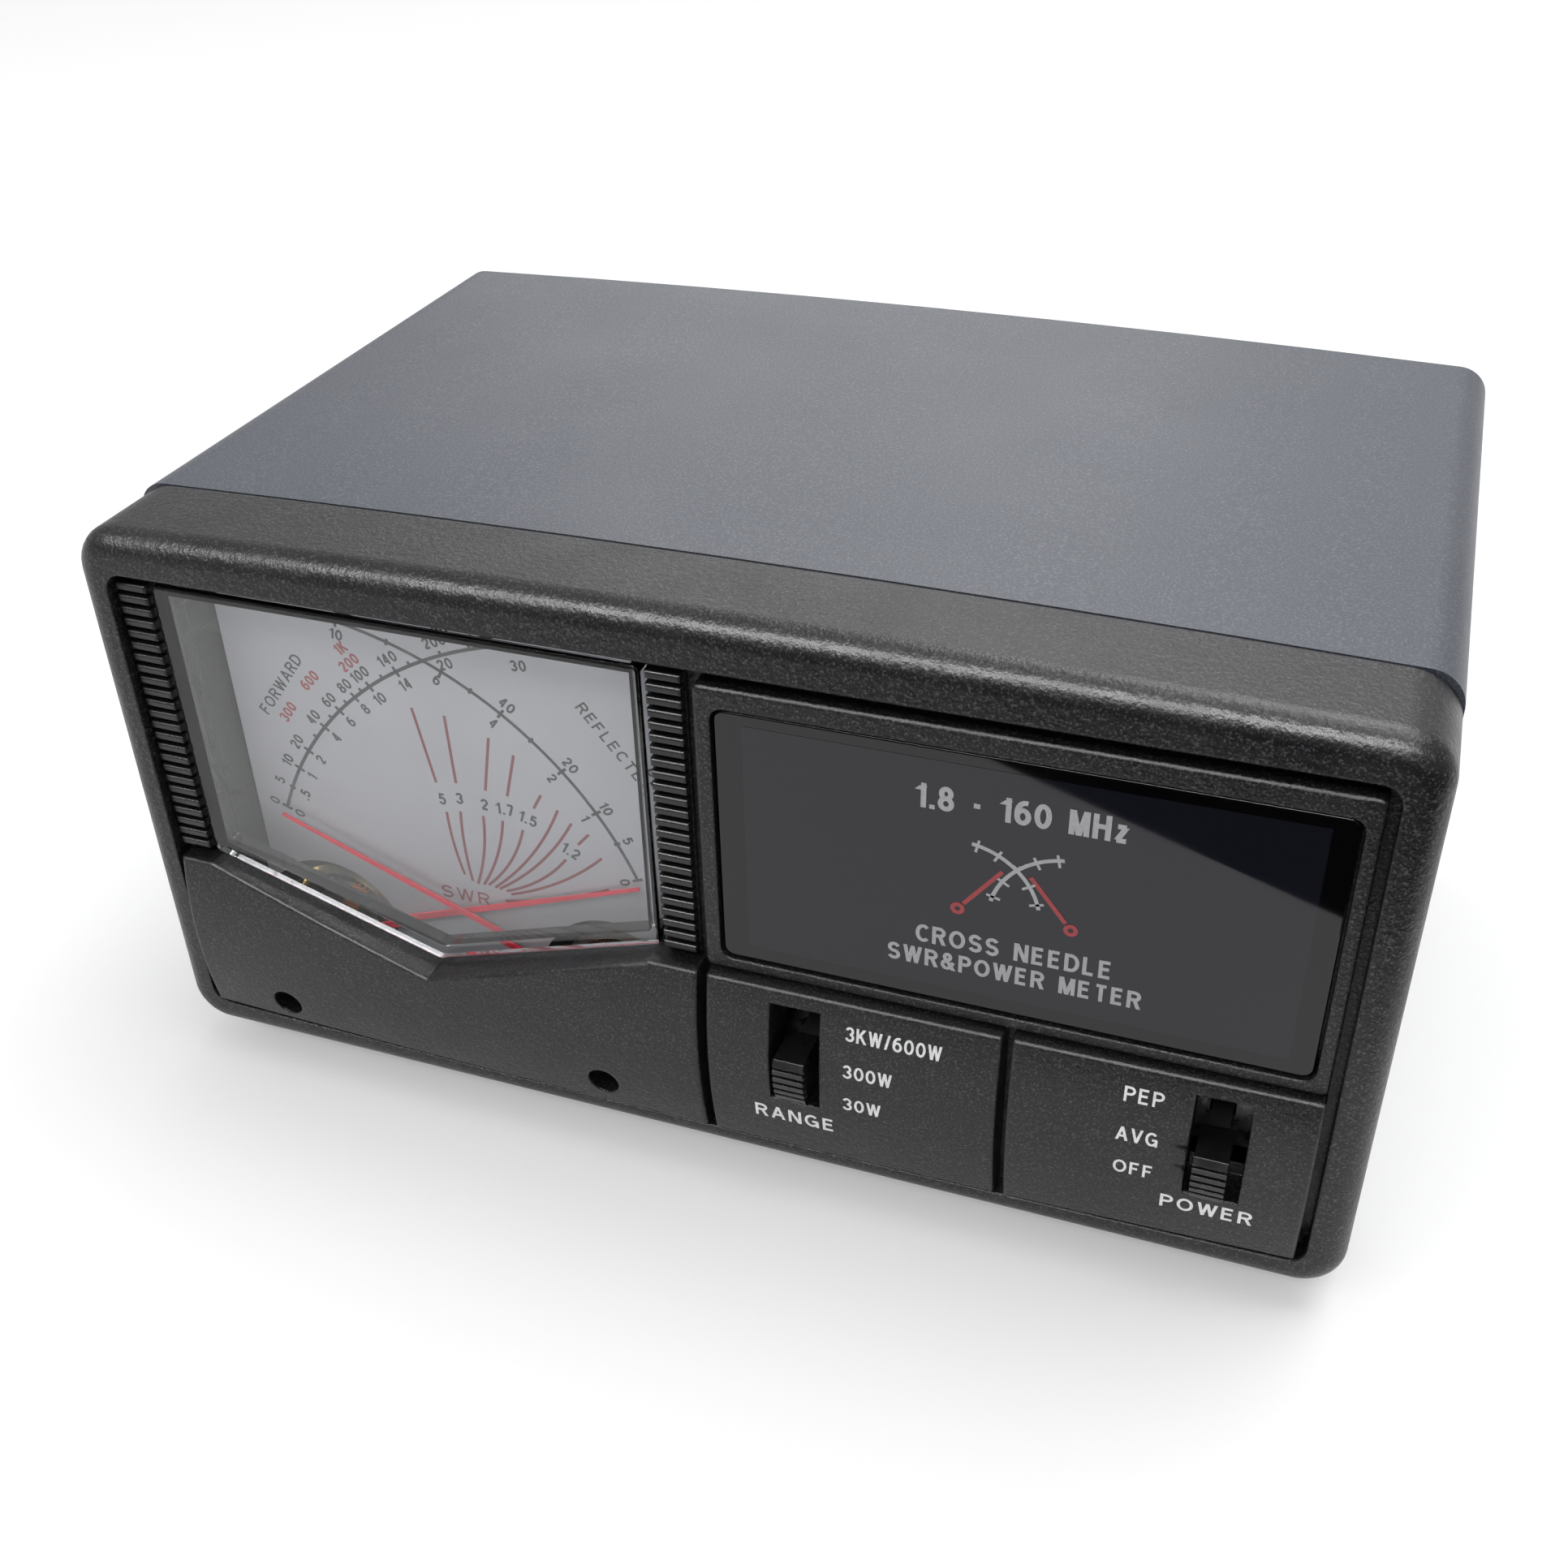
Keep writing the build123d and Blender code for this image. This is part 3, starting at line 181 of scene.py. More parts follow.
def grained_plastic(name, colour, roughness, grain, depth, glint_share):
    """Moulded plastic with an eroded grain: small pits, and glints painted in a paler colour where the grain
    catches the light.
    """
    made, tree, shader = new_material(name, colour, roughness, Specular_IOR_Level=0.44)
    base = tint(tree, shader, colour, dark=0.86, light=1.16, size=14.0)
    fine = noise(tree, grain, rough=0.6)
    # Painted highlight: the base colour turns paler where the fine grain peaks, as glints of light on the grain.
    painted_glints = spread(tree, fine, 0.0, glint_share, start=0.53, end=0.72)
    tree.links.new(blend_colours(tree, painted_glints, base, PLASTIC_GLINT_COLOUR), shader.inputs["Base Color"])
    wander(tree, shader, roughness - 0.05, roughness + 0.06, size=9.0)
    rounded = soft_edges(tree, shader, radius=0.45, polish=0.2)
    coarse = noise(tree, grain * 2.6, detail=1.0)
    first = relief(tree, shader, coarse, depth * 1.4, rounded)
    relief(tree, shader, fine, depth, first)
    return made


def baked_paint(name, colour, roughness):
    """Baked satin paint on sheet steel: a very fine grain over a slow, shallow orange peel."""
    made, tree, shader = new_material(name, colour, roughness, Specular_IOR_Level=0.42,
                                      Coat_Weight=0.08, Coat_Roughness=0.35)
    base = tint(tree, shader, colour, dark=0.95, light=1.05, size=30.0)
    fine = noise(tree, 0.3, rough=0.6)
    # Painted highlight: the base colour turns paler where the fine grain peaks, as glints of light on the paint.
    painted_glints = spread(tree, fine, 0.0, 0.16, start=0.5, end=0.7)
    tree.links.new(blend_colours(tree, painted_glints, base, GLINT_COLOUR), shader.inputs["Base Color"])
    wander(tree, shader, roughness - 0.03, roughness + 0.03, size=22.0)
    peel = relief(tree, shader, noise(tree, 1.1, detail=1.0), depth=0.012)
    relief(tree, shader, fine, depth=0.02, before=peel)
    return made


def gloss_plastic(name, colour, roughness):
    """Smooth moulded plastic with faint handling marks."""
    made, tree, shader = new_material(name, colour, roughness)
    tint(tree, shader, colour, dark=0.85, light=1.2, size=6.0)
    wander(tree, shader, roughness - 0.05, roughness + 0.09, size=2.4, detail=5.0)
    rounded = soft_edges(tree, shader, radius=0.2, polish=0.08)
    relief(tree, shader, noise(tree, 0.5), depth=0.004, before=rounded)
    return made


def matt_plastic(name, colour, roughness, grain=0.4, depth=0.01):
    """Plain moulding with a light grain."""
    made, tree, shader = new_material(name, colour, roughness)
    tint(tree, shader, colour, dark=0.88, light=1.1, size=5.0)
    wander(tree, shader, roughness - 0.06, roughness + 0.06, size=3.0)
    relief(tree, shader, noise(tree, grain, detail=3.0), depth)
    return made


def metal(name, colour, roughness, grain=0.35, depth=0.004):
    """Metal with a fine worked grain and slow changes of tone."""
    made, tree, shader = new_material(name, colour, roughness, metallic=1.0)
    tint(tree, shader, colour, dark=0.88, light=1.08, size=3.0)
    wander(tree, shader, roughness - 0.08, roughness + 0.1, size=1.2, detail=4.0)
    relief(tree, shader, noise(tree, grain, detail=3.0, rough=0.6), depth)
    return made


def zinc_sheet(name):
    """Zinc plated sheet with its faint spangle."""
    made, tree, shader = new_material(name, (0.52, 0.53, 0.54), roughness=0.38, metallic=1.0)
    share = spread(tree, cells(tree, 3.2), 0.0, 1.0, start=0.1, end=0.8)
    mixed = blend_colours(tree, share, (0.44, 0.46, 0.47), (0.6, 0.61, 0.62))
    tree.links.new(mixed, shader.inputs["Base Color"])
    wander(tree, shader, 0.3, 0.46, size=2.0, detail=4.0)
    relief(tree, shader, noise(tree, 0.4, detail=3.0), depth=0.003)
    return made


def rubber(name, colour):
    """Matt rubber with a dusty bloom."""
    made, tree, shader = new_material(name, colour, roughness=0.78)
    tint(tree, shader, colour, dark=0.8, light=1.9, size=2.2, detail=5.0)
    wander(tree, shader, 0.7, 0.9, size=1.5)
    relief(tree, shader, noise(tree, 0.3, detail=3.0), depth=0.02)
    return made


def let_light_in(tree, shader, colour):
    """Let light from lamps and from matt surfaces pass straight through a clear material."""
    path = node(tree, "LightPath")
    either = node(tree, "Math", {0: path.outputs["Is Shadow Ray"], 1: path.outputs["Is Diffuse Ray"]},
                  operation="MAXIMUM")
    straight = node(tree, "BsdfTransparent", {"Color": (*colour, 1.0)})
    mixed = node(tree, "MixShader", {0: either.outputs["Value"], 1: shader.outputs["BSDF"],
                                     2: straight.outputs["BSDF"]})
    tree.links.new(mixed.outputs["Shader"], tree.nodes["Material Output"].inputs["Surface"])


def clear_moulding(name):
    """Clear styrene of the meter's lens, with the faint waviness of a moulding."""
    made, tree, shader = new_material(name, (0.965, 0.975, 0.975), roughness=0.015, IOR=STYRENE_IOR,
                                      Transmission_Weight=1.0)
    relief(tree, shader, noise(tree, 12.0, detail=1.0), depth=0.01)
    let_light_in(tree, shader, (0.95, 0.96, 0.96))
    return made


def polished(tree, shader):
    """The hard gloss of polished acrylic, slightly uneven and wavy."""
    wander(tree, shader, 0.02, 0.045, size=14.0)
    relief(tree, shader, noise(tree, 18.0, detail=1.0), depth=0.004)


def smoked_pane(name):
    """Acrylic smoked so dark that only its polish and its print show."""
    colour = (0.0012, 0.0012, 0.0013)
    made, tree, shader = new_material(name, colour, roughness=0.03, IOR=ACRYLIC_IOR)
    tint(tree, shader, colour, dark=0.8, light=1.3, size=9.0)
    polished(tree, shader)
    return made


def glossy_print(name, colour):
    """Print under the pane's hard gloss."""
    made, tree, shader = new_material(name, colour, roughness=0.03, IOR=ACRYLIC_IOR)
    tint(tree, shader, colour, dark=0.93, light=1.07, size=0.5, detail=2.0)
    polished(tree, shader)
    return made


def dial_paint(name):
    """Satin pale grey paint of the dial, with a trace of mottling."""
    colour = (0.45, 0.441, 0.477)
    made, tree, shader = new_material(name, colour, roughness=0.5)
    tint(tree, shader, colour, dark=0.97, light=1.03, size=8.0)
    relief(tree, shader, noise(tree, 0.3), depth=0.003)
    return made


def ink(name, colour):
    """Screen printed ink, slightly uneven."""
    made, tree, shader = new_material(name, colour, roughness=0.55)
    tint(tree, shader, colour, dark=0.86, light=1.08, size=0.4, detail=2.0)
    relief(tree, shader, noise(tree, 0.15), depth=0.003)
    return made


def solder_mask(name):
    """Green circuit board with its track pattern showing faintly through the mask."""
    made, tree, shader = new_material(name, (0.02, 0.16, 0.07), roughness=0.35)
    grid = node(tree, "TexBrick", {
        "Vector": place(tree), "Scale": 1 / (BOARD_GRID * MM), "Mortar Size": 0.035,
        "Color1": (0.015, 0.13, 0.06, 1), "Color2": (0.02, 0.17, 0.075, 1), "Mortar": (0.05, 0.3, 0.12, 1)})
    tree.links.new(grid.outputs["Color"], shader.inputs["Base Color"])
    relief(tree, shader, grid.outputs["Fac"], depth=0.02)
    return made


def winding(name):
    """Enamelled copper wire laid in turns, with painted shade in the grooves between them and a painted highlight
    on their crests.
    """
    made, tree, shader = new_material(name, (0.6, 0.24, 0.1), roughness=0.3, metallic=1.0)
    turns = node(tree, "TexWave", {"Vector": place(tree), "Scale": 1 / (WIRE_PITCH * MM), "Distortion": 0.5},
                 bands_direction="Z")
    # Painted shade and highlight: the colour follows the turns' relief, dark down in the grooves and bright on the
    # crests.
    mixed = blend_colours(tree, turns.outputs["Fac"], (0.35, 0.12, 0.05), (0.75, 0.33, 0.14))
    tree.links.new(mixed, shader.inputs["Base Color"])
    relief(tree, shader, turns.outputs["Fac"], depth=0.05)
    return made


def make_materials():
    """One material for each material slot of the record."""
    return {
        "bezel_plastic": grained_plastic("bezel_plastic", (0.005, 0.005, 0.006), 0.36,
                                         grain=0.3, depth=0.05, glint_share=0.17),
        "panel_plastic": grained_plastic("panel_plastic", (0.0045, 0.0045, 0.0053), 0.33,
                                         grain=0.28, depth=0.04, glint_share=0.15),
        "gloss_black": gloss_plastic("gloss_black", (0.008, 0.008, 0.009), 0.27),
        "cover_paint": baked_paint("cover_paint", (0.057, 0.064, 0.084), 0.41),
        "zinc_steel": zinc_sheet("zinc_steel"),
        "black_screw": metal("black_screw", (0.03, 0.03, 0.032), 0.42),
        "bright_screw": metal("bright_screw", (0.62, 0.62, 0.63), 0.3),
        "rubber": rubber("rubber", (0.018, 0.018, 0.018)),
        "smoked_acrylic": smoked_pane("smoked_acrylic"),
        "window_print": matt_plastic("window_print", (0.003, 0.003, 0.0032), 0.6, grain=0.5, depth=0.004),
        "clear_plastic": clear_moulding("clear_plastic"),
        "meter_housing": matt_plastic("meter_housing", (0.03, 0.03, 0.032), 0.5),
        "dial_paint": dial_paint("dial_paint"),
        "brass": metal("brass", (0.72, 0.52, 0.22), 0.28),
        "copper_wire": winding("copper_wire"),
        "needle_red": matt_plastic("needle_red", (0.78, 0.004, 0.04), 0.6, grain=0.3, depth=0.002),
        "magnet_steel": metal("magnet_steel", (0.36, 0.37, 0.36), 0.35),
        "circuit_board": solder_mask("circuit_board"),
        "component_black": matt_plastic("component_black", (0.03, 0.03, 0.033), 0.45, grain=0.25, depth=0.01),
        "trimmer_blue": gloss_plastic("trimmer_blue", (0.05, 0.13, 0.4), 0.3),
        "lamp_white": gloss_plastic("lamp_white", (0.85, 0.83, 0.76), 0.3),
        "socket_plate": metal("socket_plate", (0.66, 0.66, 0.64), 0.22),
        "insulator_white": matt_plastic("insulator_white", (0.82, 0.81, 0.77), 0.45, grain=0.4, depth=0.006),
        "gold_contact": metal("gold_contact", (0.83, 0.62, 0.26), 0.22),
        "shield_tin": metal("shield_tin", (0.62, 0.63, 0.62), 0.34, grain=1.2, depth=0.006),
        "ferrite": matt_plastic("ferrite", (0.04, 0.04, 0.043), 0.6, grain=0.3, depth=0.02),
        "cable_jacket": rubber("cable_jacket", (0.025, 0.025, 0.025)),
    }


SLOTS = make_materials()
INKS = {
    "scale": ink("ink_scale", (0.012, 0.014, 0.016)),
    "red": ink("ink_red", (0.3, 0.04, 0.04)),
    "curve": ink("ink_curve", (0.2, 0.032, 0.042)),
    "white": ink("ink_white", (0.82, 0.82, 0.82)),
    "pale": glossy_print("ink_pale", (0.34, 0.34, 0.355)),
    "pale_red": glossy_print("ink_pale_red", (0.3, 0.03, 0.035)),
    "field": glossy_print("ink_field", (0.0062, 0.0066, 0.0105)),
}


def dress_cad():
    """Give every CAD node the material of its record slot."""
    for name, part in frame["nodes"].items():
        part.data.materials.clear()
        part.data.materials.append(SLOTS[SLOT_OF[name]])


# ---- Print ----

INK_THICK = 0.03 * MM
LAYER_STEP = 0.003 * MM      # strokes that cross lie this much above each other
LAYERS = 5
ARC_STEPS = 72
LETTER_ARC_STEP = 15         # degrees between the points of a letter's arc
LETTER_GAP = 0.17            # between letters, as a share of their height
LETTER_STRETCH = 1.12
SPACE_WIDTH = 0.24
STEEP = 0.6                  # a straight stroke with at least this slope has level ends
# Plain block letters, a unit high. A stroke is a run of points (x, z) and arcs (centre x, centre z, radius
# along x, radius along z, start, end), with angles in degrees, all measured along the stroke's middle.
LETTERS = {
    "0": [[(0.25, 0.5, 0.25, 0.5, 90, 450)]],
    "1": [[(0.24, 0), (0.24, 1)], [(0.24, 0.97), (0.02, 0.76)]],
    "2": [[(0.24, 0.74, 0.23, 0.26, 175, -38), (0.02, 0.03)], [(0, 0), (0.48, 0)]],
    "3": [[(0.23, 0.75, 0.21, 0.25, 165, -90)], [(0.23, 0.25, 0.24, 0.25, 90, -165)]],
    "4": [[(0.37, 0), (0.37, 1)], [(0.36, 1), (0.02, 0.28)], [(0, 0.25), (0.5, 0.25)]],
    "5": [[(0.43, 1), (0.06, 1)], [(0.09, 1), (0.04, 0.48)], [(0.23, 0.32, 0.24, 0.32, 142, -155)]],
    "6": [[(0.25, 0.31, 0.24, 0.31, 90, 450)], [(0.01, 0.31), (0.36, 0.5, 0.35, 0.5, 180, 75)]],
    "7": [[(0, 1), (0.47, 1)], [(0.45, 0.95), (0.15, 0)]],
    "8": [[(0.24, 0.76, 0.2, 0.24, 90, 450)], [(0.24, 0.26, 0.24, 0.26, 90, 450)]],
    ".": [[(0.02, 0), (0.02, 0.09)]],
    "-": [[(0, 0.42), (0.28, 0.42)]],
    "/": [[(0, 0), (0.26, 1)]],
    "&": [[(0.25, 0.8, 0.15, 0.2, 90, 450)], [(0.13, 0.7), (0.58, 0)],
          [(0.22, 0.26, 0.22, 0.26, 75, 325), (0.56, 0.46)]],
    "A": [[(0, 0), (0.29, 1)], [(0.58, 0), (0.29, 1)], [(0.1, 0.3), (0.48, 0.3)]],
    "C": [[(0.29, 0.5, 0.29, 0.5, 46, 314)]],
    "D": [[(0, 0), (0, 1)], [(0, 1), (0.22, 1), (0.22, 0.5, 0.31, 0.5, 90, -90), (0, 0)]],
    "E": [[(0, 0), (0, 1)], [(0, 1), (0.44, 1)], [(0, 0.53), (0.4, 0.53)], [(0, 0), (0.45, 0)]],
    "F": [[(0, 0), (0, 1)], [(0, 1), (0.43, 1)], [(0, 0.51), (0.37, 0.51)]],
    "G": [[(0.3, 0.5, 0.3, 0.5, 45, 332)], [(0.32, 0.46), (0.6, 0.46)], [(0.58, 0), (0.58, 0.5)]],
    "H": [[(0, 0), (0, 1)], [(0.52, 0), (0.52, 1)], [(0, 0.53), (0.52, 0.53)]],
    "K": [[(0, 0), (0, 1)], [(0.04, 0.36), (0.48, 1)], [(0.2, 0.58), (0.53, 0)]],
    "L": [[(0, 0), (0, 1)], [(0, 0), (0.42, 0)]],
    "M": [[(0, 0), (0, 1)], [(0.62, 0), (0.62, 1)], [(0.03, 1), (0.31, 0)], [(0.59, 1), (0.31, 0)]],
    "N": [[(0, 0), (0, 1)], [(0.52, 0), (0.52, 1)], [(0.03, 1), (0.49, 0)]],
    "O": [[(0.31, 0.5, 0.31, 0.5, 90, 450)]],
    "P": [[(0, 0), (0, 1)], [(0, 1), (0.24, 1), (0.24, 0.74, 0.23, 0.26, 90, -90), (0, 0.48)]],
    "R": [[(0, 0), (0, 1)], [(0, 1), (0.26, 1), (0.26, 0.75, 0.23, 0.25, 90, -90), (0, 0.5)],
          [(0.28, 0.5), (0.5, 0)]],
    "S": [[(0.25, 0.75, 0.23, 0.25, 20, 270), (0.25, 0.25, 0.24, 0.25, 90, -160)]],
    "T": [[(0, 1), (0.5, 1)], [(0.25, 0), (0.25, 1)]],
    "V": [[(0, 1), (0.28, 0)], [(0.56, 1), (0.28, 0)]],
    "W": [[(0, 1), (0.2, 0)], [(0.4, 1), (0.2, 0)], [(0.4, 1), (0.6, 0)], [(0.8, 1), (0.6, 0)]],
    "X": [[(0, 0), (0.52, 1)], [(0, 1), (0.52, 0)]],
    "z": [[(0.02, 0.68), (0.38, 0.68)], [(0.36, 0.66), (0.04, 0.03)], [(0, 0), (0.4, 0)]],
    " ": [],
}


def trace(path):
    """The points along a letter's stroke."""
    points = []
    for part in path:
        if len(part) == 2:
            points.append(part)
            continue
        centre_x, centre_z, radius_x, radius_z, start, end = part
        steps = max(2, round(abs(end - start) / LETTER_ARC_STEP))
        for i in range(steps + 1):
            angle = math.radians(start + (end - start) * i / steps)
            point = (centre_x + radius_x * math.cos(angle), centre_z + radius_z * math.sin(angle))
            if not points or math.dist(points[-1], point) > 1e-3:
                points.append(point)
    return points


class Print:
    """Thin raised ink on a surface that faces the front, or the back where facing is -1.

    surface(x, z) gives the surface's y in metres. Points (x, z) and widths are in millimetres.
    """

    def __init__(self, name, ink_name, surface, slot_name, body="case", facing=1):
        self.name = name
        self.ink = INKS[ink_name]
        self.surface = surface
        self.slot_name = slot_name
        self.body = body
        self.facing = facing
        self.mesh = bmesh.new()
        self.strokes = 0

    def next_height(self):
        """How high the next stroke stands, so that its face doesn't coincide with those that it crosses."""
        self.strokes += 1
        return INK_THICK + self.strokes % LAYERS * LAYER_STEP

    def vertex(self, x, z, height):
        """A vertex at x and z, raised height metres off the surface."""
        spot = at(x, 0, z)
        spot.y = self.surface(spot.x, spot.z) - self.facing * height
        return self.mesh.verts.new(spot)

    def slab(self, corners):
        """A flat patch of ink with these corners."""
        height = self.next_height()
        top = [self.vertex(x, z, height) for x, z in corners]
        bottom = [self.vertex(x, z, -INK_THICK) for x, z in corners]
        self.mesh.faces.new(top)
        self.mesh.faces.new(bottom[::-1])
        for i in range(len(corners)):
            j = (i + 1) % len(corners)
            self.mesh.faces.new((top[j], top[i], bottom[i], bottom[j]))

    def stroke(self, points, width):
        """A ribbon of the given width along points. It closes where they end as they start."""
        closed = math.dist(points[0], points[-1]) < 1e-4
        if closed:
            points = points[:-1]
        last = len(points) - 1
        height = self.next_height()
        rings = []
        for i, (x, z) in enumerate(points):
            before = points[i - 1] if closed else points[max(i - 1, 0)]
            after = points[(i + 1) % len(points)] if closed else points[min(i + 1, last)]
            run = Vector((after[0] - before[0], after[1] - before[1])).normalized()
            side = Vector((-run.y, run.x)) * width / 2
            section = ((1, height), (-1, height), (-1, -INK_THICK), (1, -INK_THICK))
            rings.append([self.vertex(x + way * side.x, z + way * side.y, rise) for way, rise in section])
        for i in range(len(rings) if closed else last):
            first, second = rings[i], rings[(i + 1) % len(rings)]
            for k in range(4):
                n = (k + 1) % 4
                self.mesh.faces.new((first[k], first[n], second[n], second[k]))
        if not closed:
            self.mesh.faces.new(rings[0][::-1])
            self.mesh.faces.new(rings[-1])

    def arc(self, centre, radius, start, end, width, steps=ARC_STEPS):
        """An arc from start to end degrees, counterclockwise from +X seen from the front."""
        angles = [start + (end - start) * i / steps for i in range(steps + 1)]
        self.stroke([polar(centre, radius, angle) for angle in angles], width)

    def text(self, words, x, z, cap, turn=0.0, width=None, weight=0.18):
        """Words centred on (x, z), cap high and turned counterclockwise by turn degrees.

        width is the length of the words, or None for their own. weight is the stroke's share of the height.
        """
        line = weight * cap
        inner = cap - line
        placed = []
        cursor = 0.0
        for letter in words:
            paths = [trace(path) for path in LETTERS[letter]]
            placed += [[(cursor + px, pz) for px, pz in path] for path in paths]
            reach = max((px for path in paths for px, pz in path), default=SPACE_WIDTH)
            cursor += reach + LETTER_GAP + weight
        total = (cursor - LETTER_GAP - weight) * inner
        stretch = (width - line) / total if width else LETTER_STRETCH
        turned = Matrix.Rotation(math.radians(turn), 2)

        def spot(px, pz):
            moved = turned @ Vector(((px * inner - total / 2) * stretch, pz * inner - inner / 2))
            return (x + self.facing * moved.x, z + moved.y)
        for path in placed:
            steep = len(path) == 2 and abs(path[1][1] - path[0][1]) > STEEP * abs(path[1][0] - path[0][0])
            if not steep:
                self.stroke([spot(*point) for point in path], line)
                continue
            run = ((path[1][0] - path[0][0]) * stretch, path[1][1] - path[0][1])
            half = line / 2 / inner / stretch * math.hypot(*run) / abs(run[1])
            over = line / 2 / inner
            ends = [(px, pz + over * ((pz == 1) - (pz == 0))) for px, pz in path]
            (x0, z0), (x1, z1) = ends
            self.slab([spot(x0 - half, z0), spot(x0 + half, z0), spot(x1 + half, z1), spot(x1 - half, z1)])

    def finish(self):
        """Turn the ink into a piece of the object."""
        return add_piece(self.name, self.mesh, self.ink, self.body)


def add_piece(name, mesh, paint, body="case"):
    """Turn a bmesh into a piece of the object that rides on a body."""
    bmesh.ops.remove_doubles(mesh, verts=mesh.verts, dist=1e-7)
    bmesh.ops.recalc_face_normals(mesh, faces=mesh.faces)
    data = bpy.data.meshes.new(name)
    mesh.to_mesh(data)
    mesh.free()
    data.materials.append(paint)
    piece = bpy.data.objects.new(name, data)
    bpy.context.scene.collection.objects.link(piece)
    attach(piece, body)
    return piece


def polar(centre, radius, angle):
    """Point at radius and angle in degrees round centre, in X and Z."""
    turned = math.radians(angle)
    return (centre[0] + radius * math.cos(turned), centre[1] + radius * math.sin(turned))


def flat_surface(node_name):
    """Surface function for the flat front face of a CAD node."""
    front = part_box(node_name)[0].y
    return lambda x, z: front


def curved_surface(*node_names):
    """Surface function that finds the front face of whichever of these CAD nodes lies behind a point."""
    trees = []
    for node_name in node_names:
        data = frame["nodes"][node_name].data
        trees.append(BVHTree.FromPolygons([v.co for v in data.vertices], [p.vertices for p in data.polygons]))
    well_in_front = FRONT - 50 * MM

    def front(x, z):
        hits = [tree.ray_cast(Vector((x, well_in_front, z)), Vector((0, 1, 0)))[0] for tree in trees]
        return min(hit.y for hit in hits if hit is not None)
    return front


# ---- Dial ----

ARC_RADIUS = 49.6
ARC_END = 98.0
FORWARD_LINE = 0.46
REFLECTED_LINE = 0.42
FINE_LINE = 0.38
LABEL_STEP = 1.9            # from an arc to the middle of its labels
TICK = 0.75                 # half a main tick
NUMBER_HEIGHT = 1.5
WORD_HEIGHT = 1.6
FORWARD_SHIFT = (0.05, 0.3)         # from a needle's pivot to the centre of its arc
REFLECTED_SHIFT = (-0.25, -0.65)
# Where each value lies on the forward scale, in degrees round the arc's centre.
FORWARD_SCALE = {0: 158.5, 5: 154.2, 10: 149.9, 20: 145.7, 30: 142.4, 40: 139.7, 50: 137.3, 60: 135.1,
                 70: 133.0, 80: 131.0, 90: 129.2, 100: 127.4, 120: 124.4, 140: 121.6, 160: 118.8, 200: 113.0,
                 240: 108.0}
FORWARD_MAIN = (0, 10, 20, 40, 60, 80, 100, 140)
FORWARD_SHORT = (5,)
# The same for the reflected scale.
REFLECTED_SCALE = {0: 22.1, 5: 28.5, 10: 34.0, 20: 41.7, 30: 47.8, 40: 53.3, 50: 58.5, 60: 63.3, 80: 72.0,
                   100: 80.0}
REFLECTED_MAIN = (0, 10, 20, 40, 60, 100)
REFLECTED_SHORT = (5, 30, 50, 80)
# Numbers that stand a little off their place by the arc: side, value, and the shift right and up.
LOOSE_NUMBERS = {"20": ("forward", 200, -0.4, 0.6), "6": ("reflected", 60, 0.1, 0.4),
                 "10": ("reflected", 100, 0.1, 0.1)}
# Red full-scale numbers beyond the forward arc: angle and radius round its centre.
RED_NUMBERS = {"300": (142.1, 54.4), "600": (135.0, 54.8), "1K": (127.0, 55.4), "200": (127.5, 53.4)}
# SWR lines: root, label gap's start and end, tip, and sideways bow of the lower run, in X and Z. Each is
# under its number, or a letter where it has none.
SWR_LINES = {
    "5": [(-36.55, 27.3), (-37.83, 36.9), (-38.69, 41.2), (-40.55, 51.8), 0.3],
    "3": [(-35.5, 26.5), (-35.8, 37.4), (-35.85, 41.7), (-36.1, 51.5), 0.3],
    "2": [(-34.8, 26.2), (-32.6, 37.4), (-31.8, 41.4), (-30.35, 49.4), -0.5],
    "1.7": [(-33.9, 26.3), (-29.9, 37.2), (-28.8, 41.2), (-27.2, 47.5), -0.6],
    "1.5": [(-33.2, 26.4), (-27.2, 36.4), (-25.3, 40.1), (-24.1, 42.3), -0.8],
    "a": [(-32.3, 26.2), (-22.0, 40.5), None, None, -1.0],
    "b": [(-31.7, 26.1), (-20.3, 38.9), None, None, -1.0],
    "1.2": [(-30.7, 26.0), (-21.6, 33.1), (-19.7, 35.8), (-18.1, 37.7), -0.8],
    "c": [(-30.1, 25.6), (-16.6, 34.4), None, None, -0.9],
    "d": [(-31.1, 24.3), (-16.0, 29.7), None, None, -0.5],
}
# Middle in X and Z, and turn, of the numbers in the lines' gaps.
SWR_LABELS = {"5": (-38.2, 38.8, 0), "3": (-35.7, 39.4, 0), "2": (-32.2, 39.2, 0), "1.7": (-29.4, 39.1, 0),
              "1.5": (-26.3, 38.3, -18), "1.2": (-20.8, 34.6, -28)}
SWR_HEIGHT = 1.7


def pivot_of(side):
    """A needle's pivot in X and Z, in millimetres of the case."""
    spot = JOINTS[side + "_needle_swing"]["pos_m"]
    return (spot[0] / MM, (spot[2] - BASE) / MM)


def shifted(spot, shift):
    """A spot in X and Z moved by a shift right and up."""
    return (spot[0] + shift[0], spot[1] + shift[1])


def ticks(sheet, centre, scale, main, short):
    """Ticks of one arc: main and short ones cross it, the others stand outside."""
    for value, angle in scale.items():
        reach_in, reach_out = 0.0, TICK * 0.8
        if value in main:
            reach_in = reach_out = TICK
        elif value in short:
            reach_in = reach_out = TICK * 0.6
        inside = polar(centre, ARC_RADIUS - reach_in, angle)
        outside = polar(centre, ARC_RADIUS + reach_out, angle)
        sheet.stroke([inside, outside], FINE_LINE)


def arc_labels(sheet, centre, scale, labels, step):
    """Numbers along an arc, each turned with it."""
    for value, words in labels.items():
        angle = scale[value]
        sheet.text(words, *polar(centre, ARC_RADIUS + step, angle), NUMBER_HEIGHT, angle - 90)


